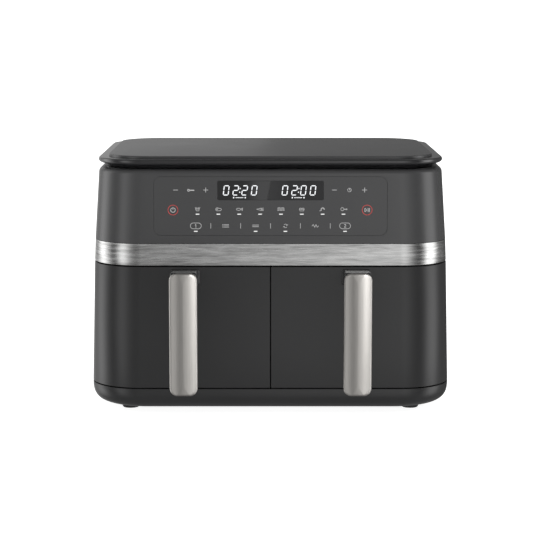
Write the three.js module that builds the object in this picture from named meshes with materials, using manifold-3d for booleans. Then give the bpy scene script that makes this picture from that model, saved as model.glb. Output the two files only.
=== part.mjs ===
// A two-drawer air fryer in millimetres: +Z is up and the drawers open towards -Y.
// The origin lies on the floor, under the middle of the object's bounding box.
// The body is a rounded rectangle in plan that tapers towards the top. From the floor up it is made of feet,
// a bowl-shaped base, two drawers between side walls, a steel band, the control housing and the lid.
import * as THREE from "three";
import { mergeVertices } from "three/addons/utils/BufferGeometryUtils.js";
import Module from "manifold-3d";

const wasm = await Module();
wasm.setup();

// ---------------------------------------------------------------- driving dimensions

const WIDTH = 404; // body at its widest, the seam above the base
const DEPTH = 320; // body at the same seam, without handles
const CORNER = 57; // plan radius of the body's corners at that seam
const HANDLE_REACH = 53; // front of the body to the front of a handle
const GLAND_REACH = 10; // back of the body to the end of the cord gland
const FRONT = (HANDLE_REACH - GLAND_REACH - DEPTH) / 2; // y of the body's front at the seam
const BACK = FRONT + DEPTH;
const MIDDLE = (FRONT + BACK) / 2;

const FOOT_HEIGHT = 7.5;
const BASE_TOP = 31.6;
const DRAWER_LOW = 32.6;
const DRAWER_HIGH = 168.4;
const BAND_LOW = 169.8;
const BAND_HIGH = 193.9;
const SHOULDER_LOW = 269.6; // where the control housing's wall starts to round over
const SHOULDER_RADIUS = 6;
const LID_LOW = 279.8;
const LID_HIGH = 286.5;
const TOP = 289.5;

const SKIN = 2.5; // moulded wall
const GAP = 0.3; // left between touching pieces
const SEAM = 0.6; // half of the gap between the two drawers

const BAY_X = 89.5; // each drawer bay's middle line
const HANDLE_X = 94.4;
const SIDES = [
  ["left", -1],
  ["right", 1],
];

// How far the body's wall lies inside its widest outline at each height.
const TAPER = [
  [32, 0],
  [169, 3.3],
  [194, 4.3],
  [SHOULDER_LOW, 9],
];

function inset(z) {
  const last = TAPER.length - 1;
  if (z <= TAPER[0][0]) return TAPER[0][1];
  if (z >= TAPER[last][0]) return TAPER[last][1];
  const i = TAPER.findIndex(([height]) => height > z);
  const [z0, d0] = TAPER[i - 1];
  const [z1, d1] = TAPER[i];
  return THREE.MathUtils.mapLinear(z, z0, z1, d0, d1);
}

// ---------------------------------------------------------------- finishes

const finish = (color, roughness, metalness = 0) =>
  new THREE.MeshStandardMaterial({ color, roughness, metalness });

const satinGraphite = finish(0x47474a, 0.45);
const satinCharcoal = finish(0x303032, 0.5);
const glossBlack = finish(0x101012, 0.15);
const smokedWindow = finish(0x1b1b1e, 0.1);
const brushedSteel = finish(0xb9b9b7, 0.35, 1);
const satinNickel = finish(0xb7b3ac, 0.35, 1);
const linerSteel = finish(0x9a9a9a, 0.4, 1);
const nonStick = finish(0x2c2c2e, 0.6);
const silicone = finish(0x27272a, 0.85);
const darkPlastic = finish(0x1d1d1f, 0.6);
const heaterSheath = finish(0x5a5552, 0.5, 1);
const circuitGreen = finish(0x1f5a35, 0.6);
const whitePlastic = finish(0xd9d7cf, 0.6);

// ---------------------------------------------------------------- shape helpers

// A rounded rectangle round (cx, cy) as a list of points, anticlockwise, with the same number for every size.
function roundedRectangle(halfX, halfY, radius, cx = 0, cy = MIDDLE, steps = 7) {
  const corners = [
    [1, -1, -90],
    [1, 1, 0],
    [-1, 1, 90],
    [-1, -1, 180],
  ];
  return corners.flatMap(([sx, sy, from]) =>
    Array.from({ length: steps + 1 }, (_, i) => {
      const a = THREE.MathUtils.degToRad(from + (90 * i) / steps);
      const x = cx + sx * (halfX - radius) + radius * Math.cos(a);
      const y = cy + sy * (halfY - radius) + radius * Math.sin(a);
      return new THREE.Vector2(x, y);
    }),
  );
}

// The body's outline, moved inwards.
function bodyOutline(inwards) {
  return roundedRectangle(WIDTH / 2 - inwards, DEPTH / 2 - inwards, CORNER - inwards / 2);
}

// A closed solid through outlines with equal numbers of points, given as [z, points] from the lowest up.
function loft(levels) {
  const count = levels[0][1].length;
  const position = levels.flatMap(([z, points]) => points.flatMap((p) => [p.x, p.y, z]));
  const index = [];
  for (let level = 0; level < levels.length - 1; level++)
    for (let i = 0; i < count; i++) {
      const a = level * count + i;
      const b = level * count + ((i + 1) % count);
      index.push(a, b, b + count, a, b + count, a + count);
    }
  const top = (levels.length - 1) * count;
  for (const [a, b, c] of THREE.ShapeUtils.triangulateShape(levels[0][1], [])) {
    index.push(a, c, b);
    index.push(top + a, top + b, top + c);
  }
  const geometry = new THREE.BufferGeometry();
  geometry.setAttribute("position", new THREE.Float32BufferAttribute(position, 3));
  geometry.setIndex(index);
  return geometry;
}

// A closed mesh as a solid that can be joined and cut.
function solid(geometry, matrix) {
  const plain = geometry.clone();
  plain.deleteAttribute("normal");
  plain.deleteAttribute("uv");
  if (matrix) plain.applyMatrix4(matrix);
  const merged = mergeVertices(plain, 1e-4);
  return new wasm.Manifold(
    new wasm.Mesh({
      numProp: 3,
      vertProperties: merged.attributes.position.array,
      triVerts: new Uint32Array(merged.index.array),
    }),
  );
}

function geometryOf(made) {
  const { numProp, vertProperties, triVerts } = made.getMesh();
  const count = vertProperties.length / numProp;
  const position = Array.from({ length: count * 3 }, (_, i) => {
    return vertProperties[Math.floor(i / 3) * numProp + (i % 3)];
  });
  const geometry = new THREE.BufferGeometry();
  geometry.setAttribute("position", new THREE.Float32BufferAttribute(position, 3));
  geometry.setIndex(Array.from(triVerts));
  return geometry;
}

const union = (...shapes) => shapes.reduce((whole, next) => whole.add(next));

function box(x0, x1, y0, y1, z0, z1) {
  const geometry = new THREE.BoxGeometry(x1 - x0, y1 - y0, z1 - z0);
  return solid(geometry.translate((x0 + x1) / 2, (y0 + y1) / 2, (z0 + z1) / 2));
}

// A box on one side of the middle, given by its distances from the middle plane.
function sideBox(side, near, far, y0, y1, z0, z1) {
  return side > 0 ? box(near, far, y0, y1, z0, z1) : box(-far, -near, y0, y1, z0, z1);
}

function prism(points, z0, z1) {
  return solid(loft([[z0, points], [z1, points]]));
}

function upright(radius, z0, z1, cx = 0, cy = 0, segments = 24) {
  const geometry = new THREE.CylinderGeometry(radius, radius, z1 - z0, segments);
  return solid(geometry.rotateX(Math.PI / 2).translate(cx, cy, (z0 + z1) / 2));
}

// A cylinder that lies along Y.
function alongY(radius, y0, y1, cx, cz, segments = 16) {
  const geometry = new THREE.CylinderGeometry(radius, radius, y1 - y0, segments);
  return solid(geometry.translate(cx, (y0 + y1) / 2, cz));
}

// A shape drawn in a vertical plane as (y, z) and given a width along X.
function sideProfile(shape, width) {
  const geometry = new THREE.ExtrudeGeometry(shape, {
    depth: width,
    bevelEnabled: false,
    curveSegments: 6,
  });
  const turn = new THREE.Matrix4().makeBasis(
    new THREE.Vector3(0, 1, 0),
    new THREE.Vector3(0, 0, 1),
    new THREE.Vector3(1, 0, 0),
  );
  return solid(geometry, turn.setPosition(-width / 2, 0, 0));
}

// A flat plate between two heights with holes through it, all given as anticlockwise lists of points.
function slottedPlate(outline, holes, z0, z1) {
  return holes.reduce((plate, hole) => plate.subtract(prism(hole, z0 - 1, z1 + 1)), prism(outline, z0, z1));
}

const object = new THREE.Group();

function add(name, shape, material, parent = object) {
  const geometry = shape.isBufferGeometry ? shape : geometryOf(shape);
  const mesh = new THREE.Mesh(geometry, material);
  mesh.name = name;
  parent.add(mesh);
  return mesh;
}

// ---------------------------------------------------------------- base and feet

const BASE_CURVE = 26; // how far the base's wall rounds in under the body

// Rings of the bowl, from the flat bottom up to the seam. Inwards moves the whole surface in by a wall.
function bowlRings(inwards, steps = 6) {
  return Array.from({ length: steps + 1 }, (_, i) => {
    const a = (Math.PI / 2) * (1 - i / steps);
    const z = BASE_TOP - (BASE_TOP - FOOT_HEIGHT - inwards) * Math.sin(a);
    return [z, bodyOutline(inwards + (BASE_CURVE - inwards) * (1 - Math.cos(a)))];
  });
}

function basePan() {
  const hollow = bowlRings(SKIN);
  hollow.push([BASE_TOP + 5, bodyOutline(SKIN)]);
  return solid(loft(bowlRings(0))).subtract(solid(loft(hollow)));
}

function feet() {
  const radius = 10;
  const profile = [
    [0, 0],
    [radius - 2.2, 0],
    [radius - 0.7, 0.9],
    [radius, 2.8],
    [radius, FOOT_HEIGHT],
    [0, FOOT_HEIGHT],
  ].map(([r, z]) => new THREE.Vector2(r, z));
  const inFromEnds = 53;
  const x = 159.3;
  for (const [row, y] of [["front", FRONT + inFromEnds], ["rear", BACK - inFromEnds]])
    for (const [sideName, side] of SIDES) {
      const foot = new THREE.LatheGeometry(profile, 20).rotateX(Math.PI / 2);
      add(`foot_${row}_${sideName}`, foot, silicone).position.set(side * x, y, 0);
    }
}

add("base_pan", basePan(), satinCharcoal);
feet();

// ---------------------------------------------------------------- side walls and front frame

const WRAP = 75; // how far the drawer fronts reach round the corners
const SHELL_TOP = 169;
const FRAME_HALF = 190;
const FRAME_FRONT = FRONT + 19;
const FRAME_CORNER = 34;
const FRAME_BACK = FRONT + 84;
const OPENING_HALF = 79.5; // each drawer bay's opening
const OPENING_LOW = 37.5;
const OPENING_HIGH = 153.5;
const OPENING_CORNER = 3; // tight, so that the pot's rim passes

const GLAND_X = -118;
const GLAND_Z = 56;
const GLAND_HOLE = 7.8;

function lowerShell() {
  const inner = 32;
  const wall = loft([
    [inner, bodyOutline(inset(inner))],
    [SHELL_TOP, bodyOutline(inset(SHELL_TOP))],
  ]);
  const hollow = loft([
    [inner - 1, bodyOutline(inset(inner) + SKIN)],
    [SHELL_TOP + 1, bodyOutline(inset(SHELL_TOP) + SKIN)],
  ]);
  const start = FRONT + WRAP + 0.8;
  const everything = 400;
  return solid(wall)
    .subtract(box(-everything, everything, -everything, start, 0, everything))
    .subtract(solid(hollow).subtract(box(-everything, everything, -everything, start + SKIN, 0, everything)))
    .subtract(box(-FRAME_HALF - 0.6, FRAME_HALF + 0.6, -everything, start + 10, 0, everything))
    .subtract(alongY(GLAND_HOLE, BACK - 10, BACK + 5, GLAND_X, GLAND_Z));
}

// The frame's plan outline behind the drawer fronts, grown outwards.
function frameOutline(grow) {
  const far = BACK;
  const near = FRAME_FRONT - grow;
  const middle = (near + far) / 2;
  return roundedRectangle(FRAME_HALF + grow, far - middle, FRAME_CORNER + grow, 0, middle);
}

function frontFrame() {
  const top = 172.5;
  const cutBack = box(-300, 300, FRAME_BACK, 300, 0, 300);
  const wall = prism(frameOutline(0), DRAWER_LOW - 3, top);
  const low = prism(bodyOutline(SKIN + 0.9), BASE_TOP - 2.6, BASE_TOP - 0.4);
  const high = prism(bodyOutline(inset(SHELL_TOP) + 1.3 + SKIN + 0.9), 170.5, top);
  const bays = SIDES.map(([, side]) => {
    const mouth = (grow) =>
      roundedRectangle(
        OPENING_HALF + grow,
        (OPENING_HIGH - OPENING_LOW) / 2 + grow,
        OPENING_CORNER + grow,
        side * BAY_X,
        (OPENING_LOW + OPENING_HIGH) / 2,
        3,
      );
    const upright = new THREE.Matrix4().makeRotationX(Math.PI / 2);
    const tunnel = (grow, y0, y1) =>
      solid(loft([[-y1, mouth(grow)], [-y0, mouth(grow)]]), upright);
    return { hole: tunnel(0, FRONT, FRONT + 60), collar: tunnel(1.5, FRAME_FRONT + 1, FRONT + 25.6) };
  });
  return union(wall, low, high)
    .subtract(prism(frameOutline(-SKIN), 0, 300))
    .add(union(...bays.map(({ collar }) => collar)).intersect(prism(frameOutline(0), 0, 300)))
    .subtract(cutBack)
    .subtract(bays[0].hole)
    .subtract(bays[1].hole);
}

add("lower_shell", lowerShell(), satinCharcoal);
add("front_frame", frontFrame(), darkPlastic);

// ---------------------------------------------------------------- band, control housing and lid

const BAND_THICKNESS = 0.9;
const PANEL_TILT = Math.atan2(inset(SHOULDER_LOW) - inset(194), SHOULDER_LOW - 194);
const PANEL_Z = 235.5;
const PANEL_HALF_X = 128.4;
const PANEL_HALF_Z = 32.3;
const PANEL_CORNER = 8;
const PANEL_THICKNESS = 1;
const WINDOW_HALF_Z = 10.4;
const WINDOW_RISE = 17.2; // middle of the display above the middle of the panel
const NECK_INSET = 19;
const MOUTH_INSET = 24;

// A group whose z axis points out of the sloping front or back face and whose y axis runs up it.
function onFace(z, back = false) {
  const group = new THREE.Group();
  group.position.set(0, back ? BACK - inset(z) : FRONT + inset(z), z);
  group.rotation.order = "ZXY";
  group.rotation.z = back ? Math.PI : 0;
  group.rotation.x = Math.PI / 2 - PANEL_TILT;
  group.updateMatrix();
  object.add(group);
  return group;
}

const controlFace = onFace(PANEL_Z);
const VENT_Z = 238;
const VENT_HALF_X = 112;
const VENT_HALF_Z = 22;
const ventFace = onFace(VENT_Z, true);

// A rounded plate on a face's own axes, as a solid in the object's frame.
function facePlate(face, halfX, halfY, radius, low, high, cy = 0) {
  const outline = roundedRectangle(halfX, halfY, radius, 0, cy, 4);
  return solid(loft([[low, outline], [high, outline]]), face.matrix);
}

function trimBand() {
  const ring = (thickness, reach) =>
    solid(
      loft([
        [BAND_LOW - reach, bodyOutline(inset(BAND_LOW) + thickness)],
        [BAND_HIGH + reach, bodyOutline(inset(BAND_HIGH) + thickness)],
      ]),
    );
  return ring(0, 0).subtract(ring(BAND_THICKNESS, 1));
}

// Rings of the control housing: the skirt behind the band, the wall, and the rounded shoulder.
function housingRings(inwards) {
  const behindBand = BAND_THICKNESS + 0.4;
  const skirtLow = BAND_LOW - 0.2;
  const skirtHigh = BAND_HIGH + 0.1;
  const rings = [
    [skirtLow, inset(skirtLow) + behindBand],
    [skirtHigh, inset(skirtHigh) + behindBand],
    [skirtHigh + 0.2, inset(skirtHigh)],
    [SHOULDER_LOW, inset(SHOULDER_LOW)],
  ];
  const steps = 4;
  for (let i = 1; i <= steps; i++) {
    const a = (Math.PI / 2) * (i / steps);
    rings.push([
      SHOULDER_LOW + (SHOULDER_RADIUS - inwards) * Math.sin(a),
      inset(SHOULDER_LOW) + (SHOULDER_RADIUS - inwards) * (1 - Math.cos(a)),
    ]);
  }
  return rings.map(([z, d]) => [z, bodyOutline(d + inwards)]);
}

function upperShell() {
  const hollow = housingRings(SKIN);
  hollow[0][0] -= 1;
  return solid(loft(housingRings(0)))
    .subtract(solid(loft(hollow)))
    .subtract(prism(bodyOutline(MOUTH_INSET), SHOULDER_LOW, LID_HIGH))
    .subtract(
      facePlate(
        controlFace,
        PANEL_HALF_X + 0.35,
        PANEL_HALF_Z + 0.35,
        PANEL_CORNER,
        -PANEL_THICKNESS - GAP,
        5,
      ),
    )
    .subtract(facePlate(controlFace, 55, WINDOW_HALF_Z - 2, 2, -10, 5, WINDOW_RISE))
    .subtract(facePlate(ventFace, VENT_HALF_X + 0.4, VENT_HALF_Z + 0.4, 6, -1.6, 5))
    .subtract(facePlate(ventFace, VENT_HALF_X - 4, VENT_HALF_Z - 4, 4, -10, 5));
}

// One of the two display windows: its inner end is slanted like the digits.
function windowOutline(side, grow) {
  const outer = side * (58.3 + grow);
  const inner = side < 0 ? grow - 2.2 : -grow - 1;
  const slant = 1.9;
  const half = WINDOW_HALF_Z + grow;
  const points = [
    [outer, -half],
    [outer, half],
    [inner + slant, half],
    [inner - slant, -half],
  ].map(([x, y]) => new THREE.Vector2(x, WINDOW_RISE + y));
  return side > 0 ? points : points.reverse();
}

function controlPanel() {
  const outline = roundedRectangle(PANEL_HALF_X, PANEL_HALF_Z, PANEL_CORNER, 0, 0, 4);
  const holes = SIDES.map(([, side]) => windowOutline(side, 0.25));
  return slottedPlate(outline, holes, -PANEL_THICKNESS, 0);
}

function controlGroup() {
  add("control_panel", controlPanel(), satinGraphite, controlFace);
  for (const [name, side] of SIDES) {
    const lens = prism(windowOutline(side, 0), -PANEL_THICKNESS, 0);
    add(`${name}_display_window`, lens, smokedWindow, controlFace);
  }
  const led = new THREE.BoxGeometry(108, 15, 6.5);
  add("display_module", led, whitePlastic, controlFace).position.set(0, WINDOW_RISE, -5.2);
  const board = new THREE.BoxGeometry(236, 52, 1.6);
  add("control_board", board, circuitGreen, controlFace).position.set(0, 1, -9.8);
}

function rearVent() {
  const outline = roundedRectangle(VENT_HALF_X, VENT_HALF_Z, 6, 0, 0, 3);
  const holes = [];
  for (let row = -2; row <= 2; row++)
    for (let column = -1.5; column <= 1.5; column++) {
      const [cx, cy] = [column * 50, row * 6.6];
      const [hx, hy] = [21, 1.6];
      holes.push(
        [[-hx, -hy], [hx, -hy], [hx, hy], [-hx, hy]].map(([x, y]) => new THREE.Vector2(cx + x, cy + y)),
      );
    }
  add("rear_vent", slottedPlate(outline, holes, -1.3, 0), darkPlastic, ventFace);
}

function lidRim() {
  const edge = 8.8; // the rim's edge lies this far inside the body's widest outline
  const rings = [
    [LID_LOW, edge + 4],
    [LID_LOW + 1, edge + 1.7],
    [LID_LOW + 2.6, edge],
    [LID_HIGH - 1.4, edge],
    [LID_HIGH - 0.3, edge + 0.5],
    [LID_HIGH, edge + 1.4],
  ].map(([z, d]) => [z, bodyOutline(d)]);
  const skirt = prism(bodyOutline(MOUTH_INSET + 1), 270, LID_LOW + 1);
  const neck = prism(bodyOutline(NECK_INSET), SHOULDER_LOW + SHOULDER_RADIUS + GAP, LID_LOW + 1);
  return union(solid(loft(rings)), skirt, neck).subtract(
    prism(bodyOutline(MOUTH_INSET + 1 + SKIN), 260, LID_HIGH - 2.4),
  );
}

function topPanel() {
  const edge = 19.8;
  return loft([
    [LID_HIGH, bodyOutline(edge)],
    [TOP - 1, bodyOutline(edge)],
    [TOP - 0.3, bodyOutline(edge + 0.3)],
    [TOP, bodyOutline(edge + 1)],
  ]);
}

add("trim_band", trimBand(), brushedSteel);
add("upper_shell", upperShell(), satinGraphite);
controlGroup();
rearVent();
add("lid_rim", lidRim(), glossBlack);
add("top_panel", topPanel(), satinGraphite);

// ---------------------------------------------------------------- cooking bays

const SHEET = 0.8;
const BAY_HALF = 81.5;
const BAY_FRONT = FRONT + 26;
const BAY_BACK = FRONT + 298;
const BAY_LOW = 36;
const BAY_HIGH = 198;
const FAN_Y = FRONT + 158; // shaft of the fan in the middle of the roof
const HEATER_Z = 170;
const HEATER_TUBE = 3.2;
const SHAFT_RADIUS = 3;
const SENSOR_X = 40; // out from the bay's middle line
const SENSOR_Z = 162;
const SWITCH_Z = 128;
const PLUNGER_RADIUS = 2;
const HEATER_INNER = 60;
const HEATER_OUTER = 73;

// The drawer bay: a sheet steel box with an open mouth, two skids that the drawer runs on and holes in its roof.
function bay() {
  const y = [BAY_FRONT, BAY_BACK];
  const outer = box(-BAY_HALF, BAY_HALF, ...y, BAY_LOW, BAY_HIGH);
  const room = box(
    SHEET - BAY_HALF,
    BAY_HALF - SHEET,
    BAY_FRONT + SHEET,
    BAY_BACK - SHEET,
    BAY_LOW + SHEET,
    BAY_HIGH - SHEET,
  );
  const mouth = box(
    -OPENING_HALF,
    OPENING_HALF,
    BAY_FRONT - 5,
    BAY_FRONT + 5,
    OPENING_LOW,
    OPENING_HIGH,
  );
  const skids = [-45, 45].map((x) => box(x - 3, x + 3, ...y, BAY_LOW + 0.2, 39.4));
  return union(outer.subtract(room), ...skids)
    .subtract(mouth)
    .subtract(upright(SHAFT_RADIUS + 4, 190, 205, 0, FAN_Y))
    .subtract(upright(HEATER_TUBE + 2, 190, 205, 0, FAN_Y - HEATER_INNER, 12))
    .subtract(upright(HEATER_TUBE + 2, 190, 205, 0, FAN_Y + HEATER_OUTER, 12))
    .subtract(alongY(3.2, BAY_BACK - 5, BAY_BACK + 5, SENSOR_X, SENSOR_Z, 10))
    .subtract(alongY(3.2, BAY_BACK - 5, BAY_BACK + 5, 0, SWITCH_Z, 10));
}

// The tubular heater: one end comes down through the roof, winds outwards and goes up again.
class HeaterCurve extends THREE.Curve {
  getPoint(t, target = new THREE.Vector3()) {
    const leg = 0.07; // share of the path that each upright end takes
    const turns = 1.5;
    const s = THREE.MathUtils.clamp((t - leg) / (1 - 2 * leg), 0, 1);
    const angle = -Math.PI / 2 + turns * 2 * Math.PI * s;
    const radius = THREE.MathUtils.lerp(HEATER_INNER, HEATER_OUTER, s);
    const rise = Math.max(leg - t, t - 1 + leg, 0) / leg;
    return target.set(
      radius * Math.cos(angle),
      FAN_Y + radius * Math.sin(angle),
      HEATER_Z + 34 * rise ** 1.6,
    );
  }
}

function heater() {
  const section = new THREE.Shape();
  section.absarc(0, 0, HEATER_TUBE, 0, 2 * Math.PI);
  return new THREE.ExtrudeGeometry(section, {
    extrudePath: new HeaterCurve(),
    steps: 60,
    curveSegments: 4,
  });
}

function hotAirFan() {
  const blades = 9;
  const [inner, outer] = [12, 54];
  const disc = upright(outer, 189, 190.2, 0, 0, 36);
  const hub = upright(8, 180, 191, 0, 0, 16);
  const blade = new THREE.BoxGeometry(outer - inner, 1, 11.5);
  const vanes = Array.from({ length: blades }, (_, i) => {
    const place = new THREE.Matrix4()
      .makeRotationZ((2 * Math.PI * i) / blades)
      .multiply(new THREE.Matrix4().makeTranslation((inner + outer) / 2 - 3, 5, 183.5))
      .multiply(new THREE.Matrix4().makeRotationZ(0.22));
    return solid(blade, place);
  });
  return union(disc, hub, ...vanes).subtract(upright(SHAFT_RADIUS + GAP, 170, 200, 0, 0, 16));
}

function coolingFan() {
  const blades = 7;
  const outer = 42;
  const ring = upright(outer, 204, 205, 0, 0, 32);
  const hub = upright(9, 202, 212, 0, 0, 16);
  const blade = new THREE.BoxGeometry(outer - 7, 1.2, 6.5);
  const vanes = Array.from({ length: blades }, (_, i) => {
    const place = new THREE.Matrix4()
      .makeRotationZ((2 * Math.PI * i) / blades)
      .multiply(new THREE.Matrix4().makeTranslation((outer + 7) / 2 - 1, 3, 207.8))
      .multiply(new THREE.Matrix4().makeRotationZ(0.15));
    return solid(blade, place);
  });
  return union(ring, hub, ...vanes).subtract(upright(SHAFT_RADIUS + GAP, 200, 215, 0, 0, 16));
}

function motor() {
  const can = upright(29, 219, 249, 0, 0, 28);
  const boss = upright(10, 216.6, 222, 0, 0, 16);
  return union(can, boss).subtract(upright(SHAFT_RADIUS + GAP, 210, 240, 0, 0, 16));
}

// The hat-shaped bracket that carries a motor above the bay's roof.
function motorBracket() {
  const [foot, top] = [BAY_HIGH + GAP, 216.3];
  const bridge = box(-54, 54, -18, 18, top - 2, top);
  const legs = [-1, 1].map((side) => sideBox(side, 52, 54, -18, 18, foot, top));
  const toes = [-1, 1].map((side) => sideBox(side, 52, 64, -18, 18, foot, foot + 2));
  return union(bridge, ...legs, ...toes).subtract(upright(12, 200, 230, 0, 0, 20));
}

// The fan, its shaft, the cooling fan and the motor stand on one axis above each bay.
function bayGroup(name, side) {
  const group = new THREE.Group();
  group.position.x = side * BAY_X;
  object.add(group);
  add(`${name}_bay_liner`, bay(), linerSteel, group);
  add(`${name}_heater`, heater(), heaterSheath, group);

  const axis = new THREE.Group();
  axis.position.y = FAN_Y;
  group.add(axis);
  const shaft = new THREE.CylinderGeometry(SHAFT_RADIUS, SHAFT_RADIUS, 58, 16);
  add(`${name}_motor_shaft`, shaft.rotateX(Math.PI / 2), linerSteel, axis).position.z = 208;
  add(`${name}_hot_air_fan`, hotAirFan(), linerSteel, axis);
  add(`${name}_cooling_fan`, coolingFan(), darkPlastic, axis);
  add(`${name}_motor`, motor(), linerSteel, axis);
  add(`${name}_motor_bracket`, motorBracket(), linerSteel, axis);

  const tip = BAY_BACK - 24;
  const probe = union(
    alongY(2, tip, BAY_BACK + 8, SENSOR_X, SENSOR_Z, 10),
    alongY(6, BAY_BACK + GAP, BAY_BACK + 3, SENSOR_X, SENSOR_Z, 12),
  );
  add(`${name}_temperature_sensor`, probe, linerSteel, group);
}

SIDES.forEach(([name, side]) => bayGroup(name, side));

// ---------------------------------------------------------------- drawers

const POT_FRONT = FRONT + 20;
const POT_BACK = FRONT + 288;
const POT_LOW = 40;
const POT_HIGH = 150;
const POT_SHEET = 0.9;
const POT_HALF = 77; // at the rim
const POT_CORNER = 27;
const POT_DRAFT = 0.035;
const POT_BEND = 10; // radius between its wall and its floor
const POT_RIM = 1.4; // how far the rim turns out
const PLATE_Z = 58;

const POT_MIDDLE = (POT_FRONT + POT_BACK) / 2;
const POT_HALF_LENGTH = (POT_BACK - POT_FRONT) / 2 - 1;

function potOutline(z, inwards) {
  const d = (POT_HIGH - z) * POT_DRAFT + inwards;
  return roundedRectangle(POT_HALF - d, POT_HALF_LENGTH - d, POT_CORNER - d, 0, POT_MIDDLE, 5);
}

// The pot is a drawn steel tub with a rounded bottom edge and a rim that turns outwards.
function pot() {
  const tub = (inwards) => {
    const radius = POT_BEND - inwards;
    const floor = POT_LOW + inwards;
    const rings = [0, 1, 2, 3].map((i) => {
      const a = (Math.PI / 2) * (i / 3);
      const z = floor + radius * (1 - Math.sin(a));
      return [z, potOutline(floor + radius, inwards + radius * (1 - Math.cos(a)))];
    });
    return rings.reverse();
  };
  const body = (inwards, top) => solid(loft([...tub(inwards), [top, potOutline(top, inwards)]]));
  const rim = prism(potOutline(POT_HIGH, -POT_RIM), POT_HIGH - 2.4, POT_HIGH);
  const pad = box(-30, 30, FRONT + 18.2, POT_FRONT + 6, 104, 144);
  return union(body(0, POT_HIGH), rim, pad).subtract(body(POT_SHEET, POT_HIGH + 4));
}

// The outer panel of a drawer: a hollow moulding that wraps round the body's corner.
function drawerFront(side) {
  const panel = (inwards, low, high) =>
    solid(
      loft([
        [low, bodyOutline(inset(low) + inwards)],
        [high, bodyOutline(inset(high) + inwards)],
      ]),
    );
  const wall = 3;
  const end = FRONT + WRAP;
  const half = sideBox(side, SEAM, 300, FRONT - 10, end, 0, 300);
  const room = sideBox(side, SEAM + SKIN, 300, FRONT - 10, end - SKIN, 0, 300);
  return panel(0, DRAWER_LOW, DRAWER_HIGH)
    .intersect(half)
    .subtract(panel(wall, DRAWER_LOW + SKIN, DRAWER_HIGH - SKIN).intersect(room))
    .subtract(prism(frameOutline(1), 0, 300));
}

function drawerInnerCover(side) {
  const room = sideBox(
    side,
    SEAM + SKIN + GAP,
    300,
    FRONT,
    FRONT + WRAP - SKIN - GAP,
    DRAWER_LOW + SKIN + GAP,
    DRAWER_HIGH - SKIN - GAP,
  );
  return prism(frameOutline(3.5), 0, 300).subtract(prism(frameOutline(1.3), -1, 301)).intersect(room);
}

const GRIP_HALF = 15.3;
const GRIP_CROWN = 3.5;
const GRIP_CORNER = 6.5;
const GRIP_LOW = 34.5;
const GRIP_HIGH = 168.6;
const COVER_BACK = FRONT - 44.2;
const ARM_WIDTH = 29;
const ARM_ROOT_WIDTH = 32.4;

// The metal cover of the grip: a bar with a crowned front and rounded ends.
function handleCover() {
  const radius = (GRIP_HALF ** 2 + GRIP_CROWN ** 2) / (2 * GRIP_CROWN);
  const front = FRONT - HANDLE_REACH;
  const half = Math.asin(GRIP_HALF / radius);
  const section = new THREE.Shape();
  section.moveTo(-GRIP_HALF, COVER_BACK);
  section.absarc(0, front + radius, radius, -Math.PI / 2 - half, -Math.PI / 2 + half, false);
  section.lineTo(GRIP_HALF, COVER_BACK);
  const bar = new THREE.ExtrudeGeometry(section, {
    depth: GRIP_HIGH - GRIP_LOW,
    bevelEnabled: false,
    curveSegments: 10,
  }).translate(0, 0, GRIP_LOW);
  const face = roundedRectangle(
    GRIP_HALF,
    (GRIP_HIGH - GRIP_LOW) / 2,
    GRIP_CORNER,
    0,
    (GRIP_LOW + GRIP_HIGH) / 2,
    5,
  );
  const stand = new THREE.Matrix4().makeRotationX(Math.PI / 2);
  return solid(bar).intersect(solid(loft([[-COVER_BACK - 5, face], [-front + 5, face]]), stand));
}

// The moulded arm: it leaves the drawer near the top, reaches forward and carries the grip down.
function handleArm() {
  const faceHigh = FRONT + inset(166) - GAP;
  const faceLow = FRONT + inset(148) - GAP;
  const [gripFront, gripBack] = [COVER_BACK + GAP, COVER_BACK + 6.2];
  const side = new THREE.Shape();
  side.moveTo(faceHigh, 166);
  side.lineTo(gripFront + 6, 167.4);
  side.quadraticCurveTo(gripFront, 167.2, gripFront, 162);
  side.lineTo(gripFront, 39);
  side.quadraticCurveTo(gripFront + 0.4, 37, gripFront + 3, 37);
  side.quadraticCurveTo(gripBack, 37, gripBack, 41);
  side.lineTo(gripBack, 134);
  side.quadraticCurveTo(gripBack, 148.6, gripBack + 14, 148.6);
  side.lineTo(faceLow, 148.2);
  const root = new THREE.Shape();
  root.moveTo(faceHigh, 166);
  root.lineTo(faceHigh - 9, 166.2);
  root.lineTo(faceLow - 9, 148.4);
  root.lineTo(faceLow, 148.2);
  return union(sideProfile(side, ARM_WIDTH), sideProfile(root, ARM_ROOT_WIDTH));
}

// The crisper plate: a slotted sheet with a turned-down edge that sits low in the pot.
function crisperPlate() {
  const outline = (inwards) =>
    roundedRectangle(70.3 - inwards, 127 - inwards, 21 - inwards, 0, POT_MIDDLE, 4);
  const holes = [];
  for (let row = -3; row <= 3; row++)
    for (let column = -1.5; column <= 1.5; column++) {
      const [cx, cy] = [column * 31, POT_MIDDLE + row * 33];
      const slot = [[-9, 0], [-6, -3.2], [6, -3.2], [9, 0], [6, 3.2], [-6, 3.2]];
      holes.push(slot.map(([x, y]) => new THREE.Vector2(cx + x, cy + y)));
    }
  const sheet = slottedPlate(outline(0), holes, PLATE_Z, PLATE_Z + 1.4);
  const skirt = prism(outline(0), PLATE_Z - 8, PLATE_Z + 0.7).subtract(
    prism(outline(1), PLATE_Z - 9, PLATE_Z + 0.7),
  );
  return sheet.add(skirt);
}

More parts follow.
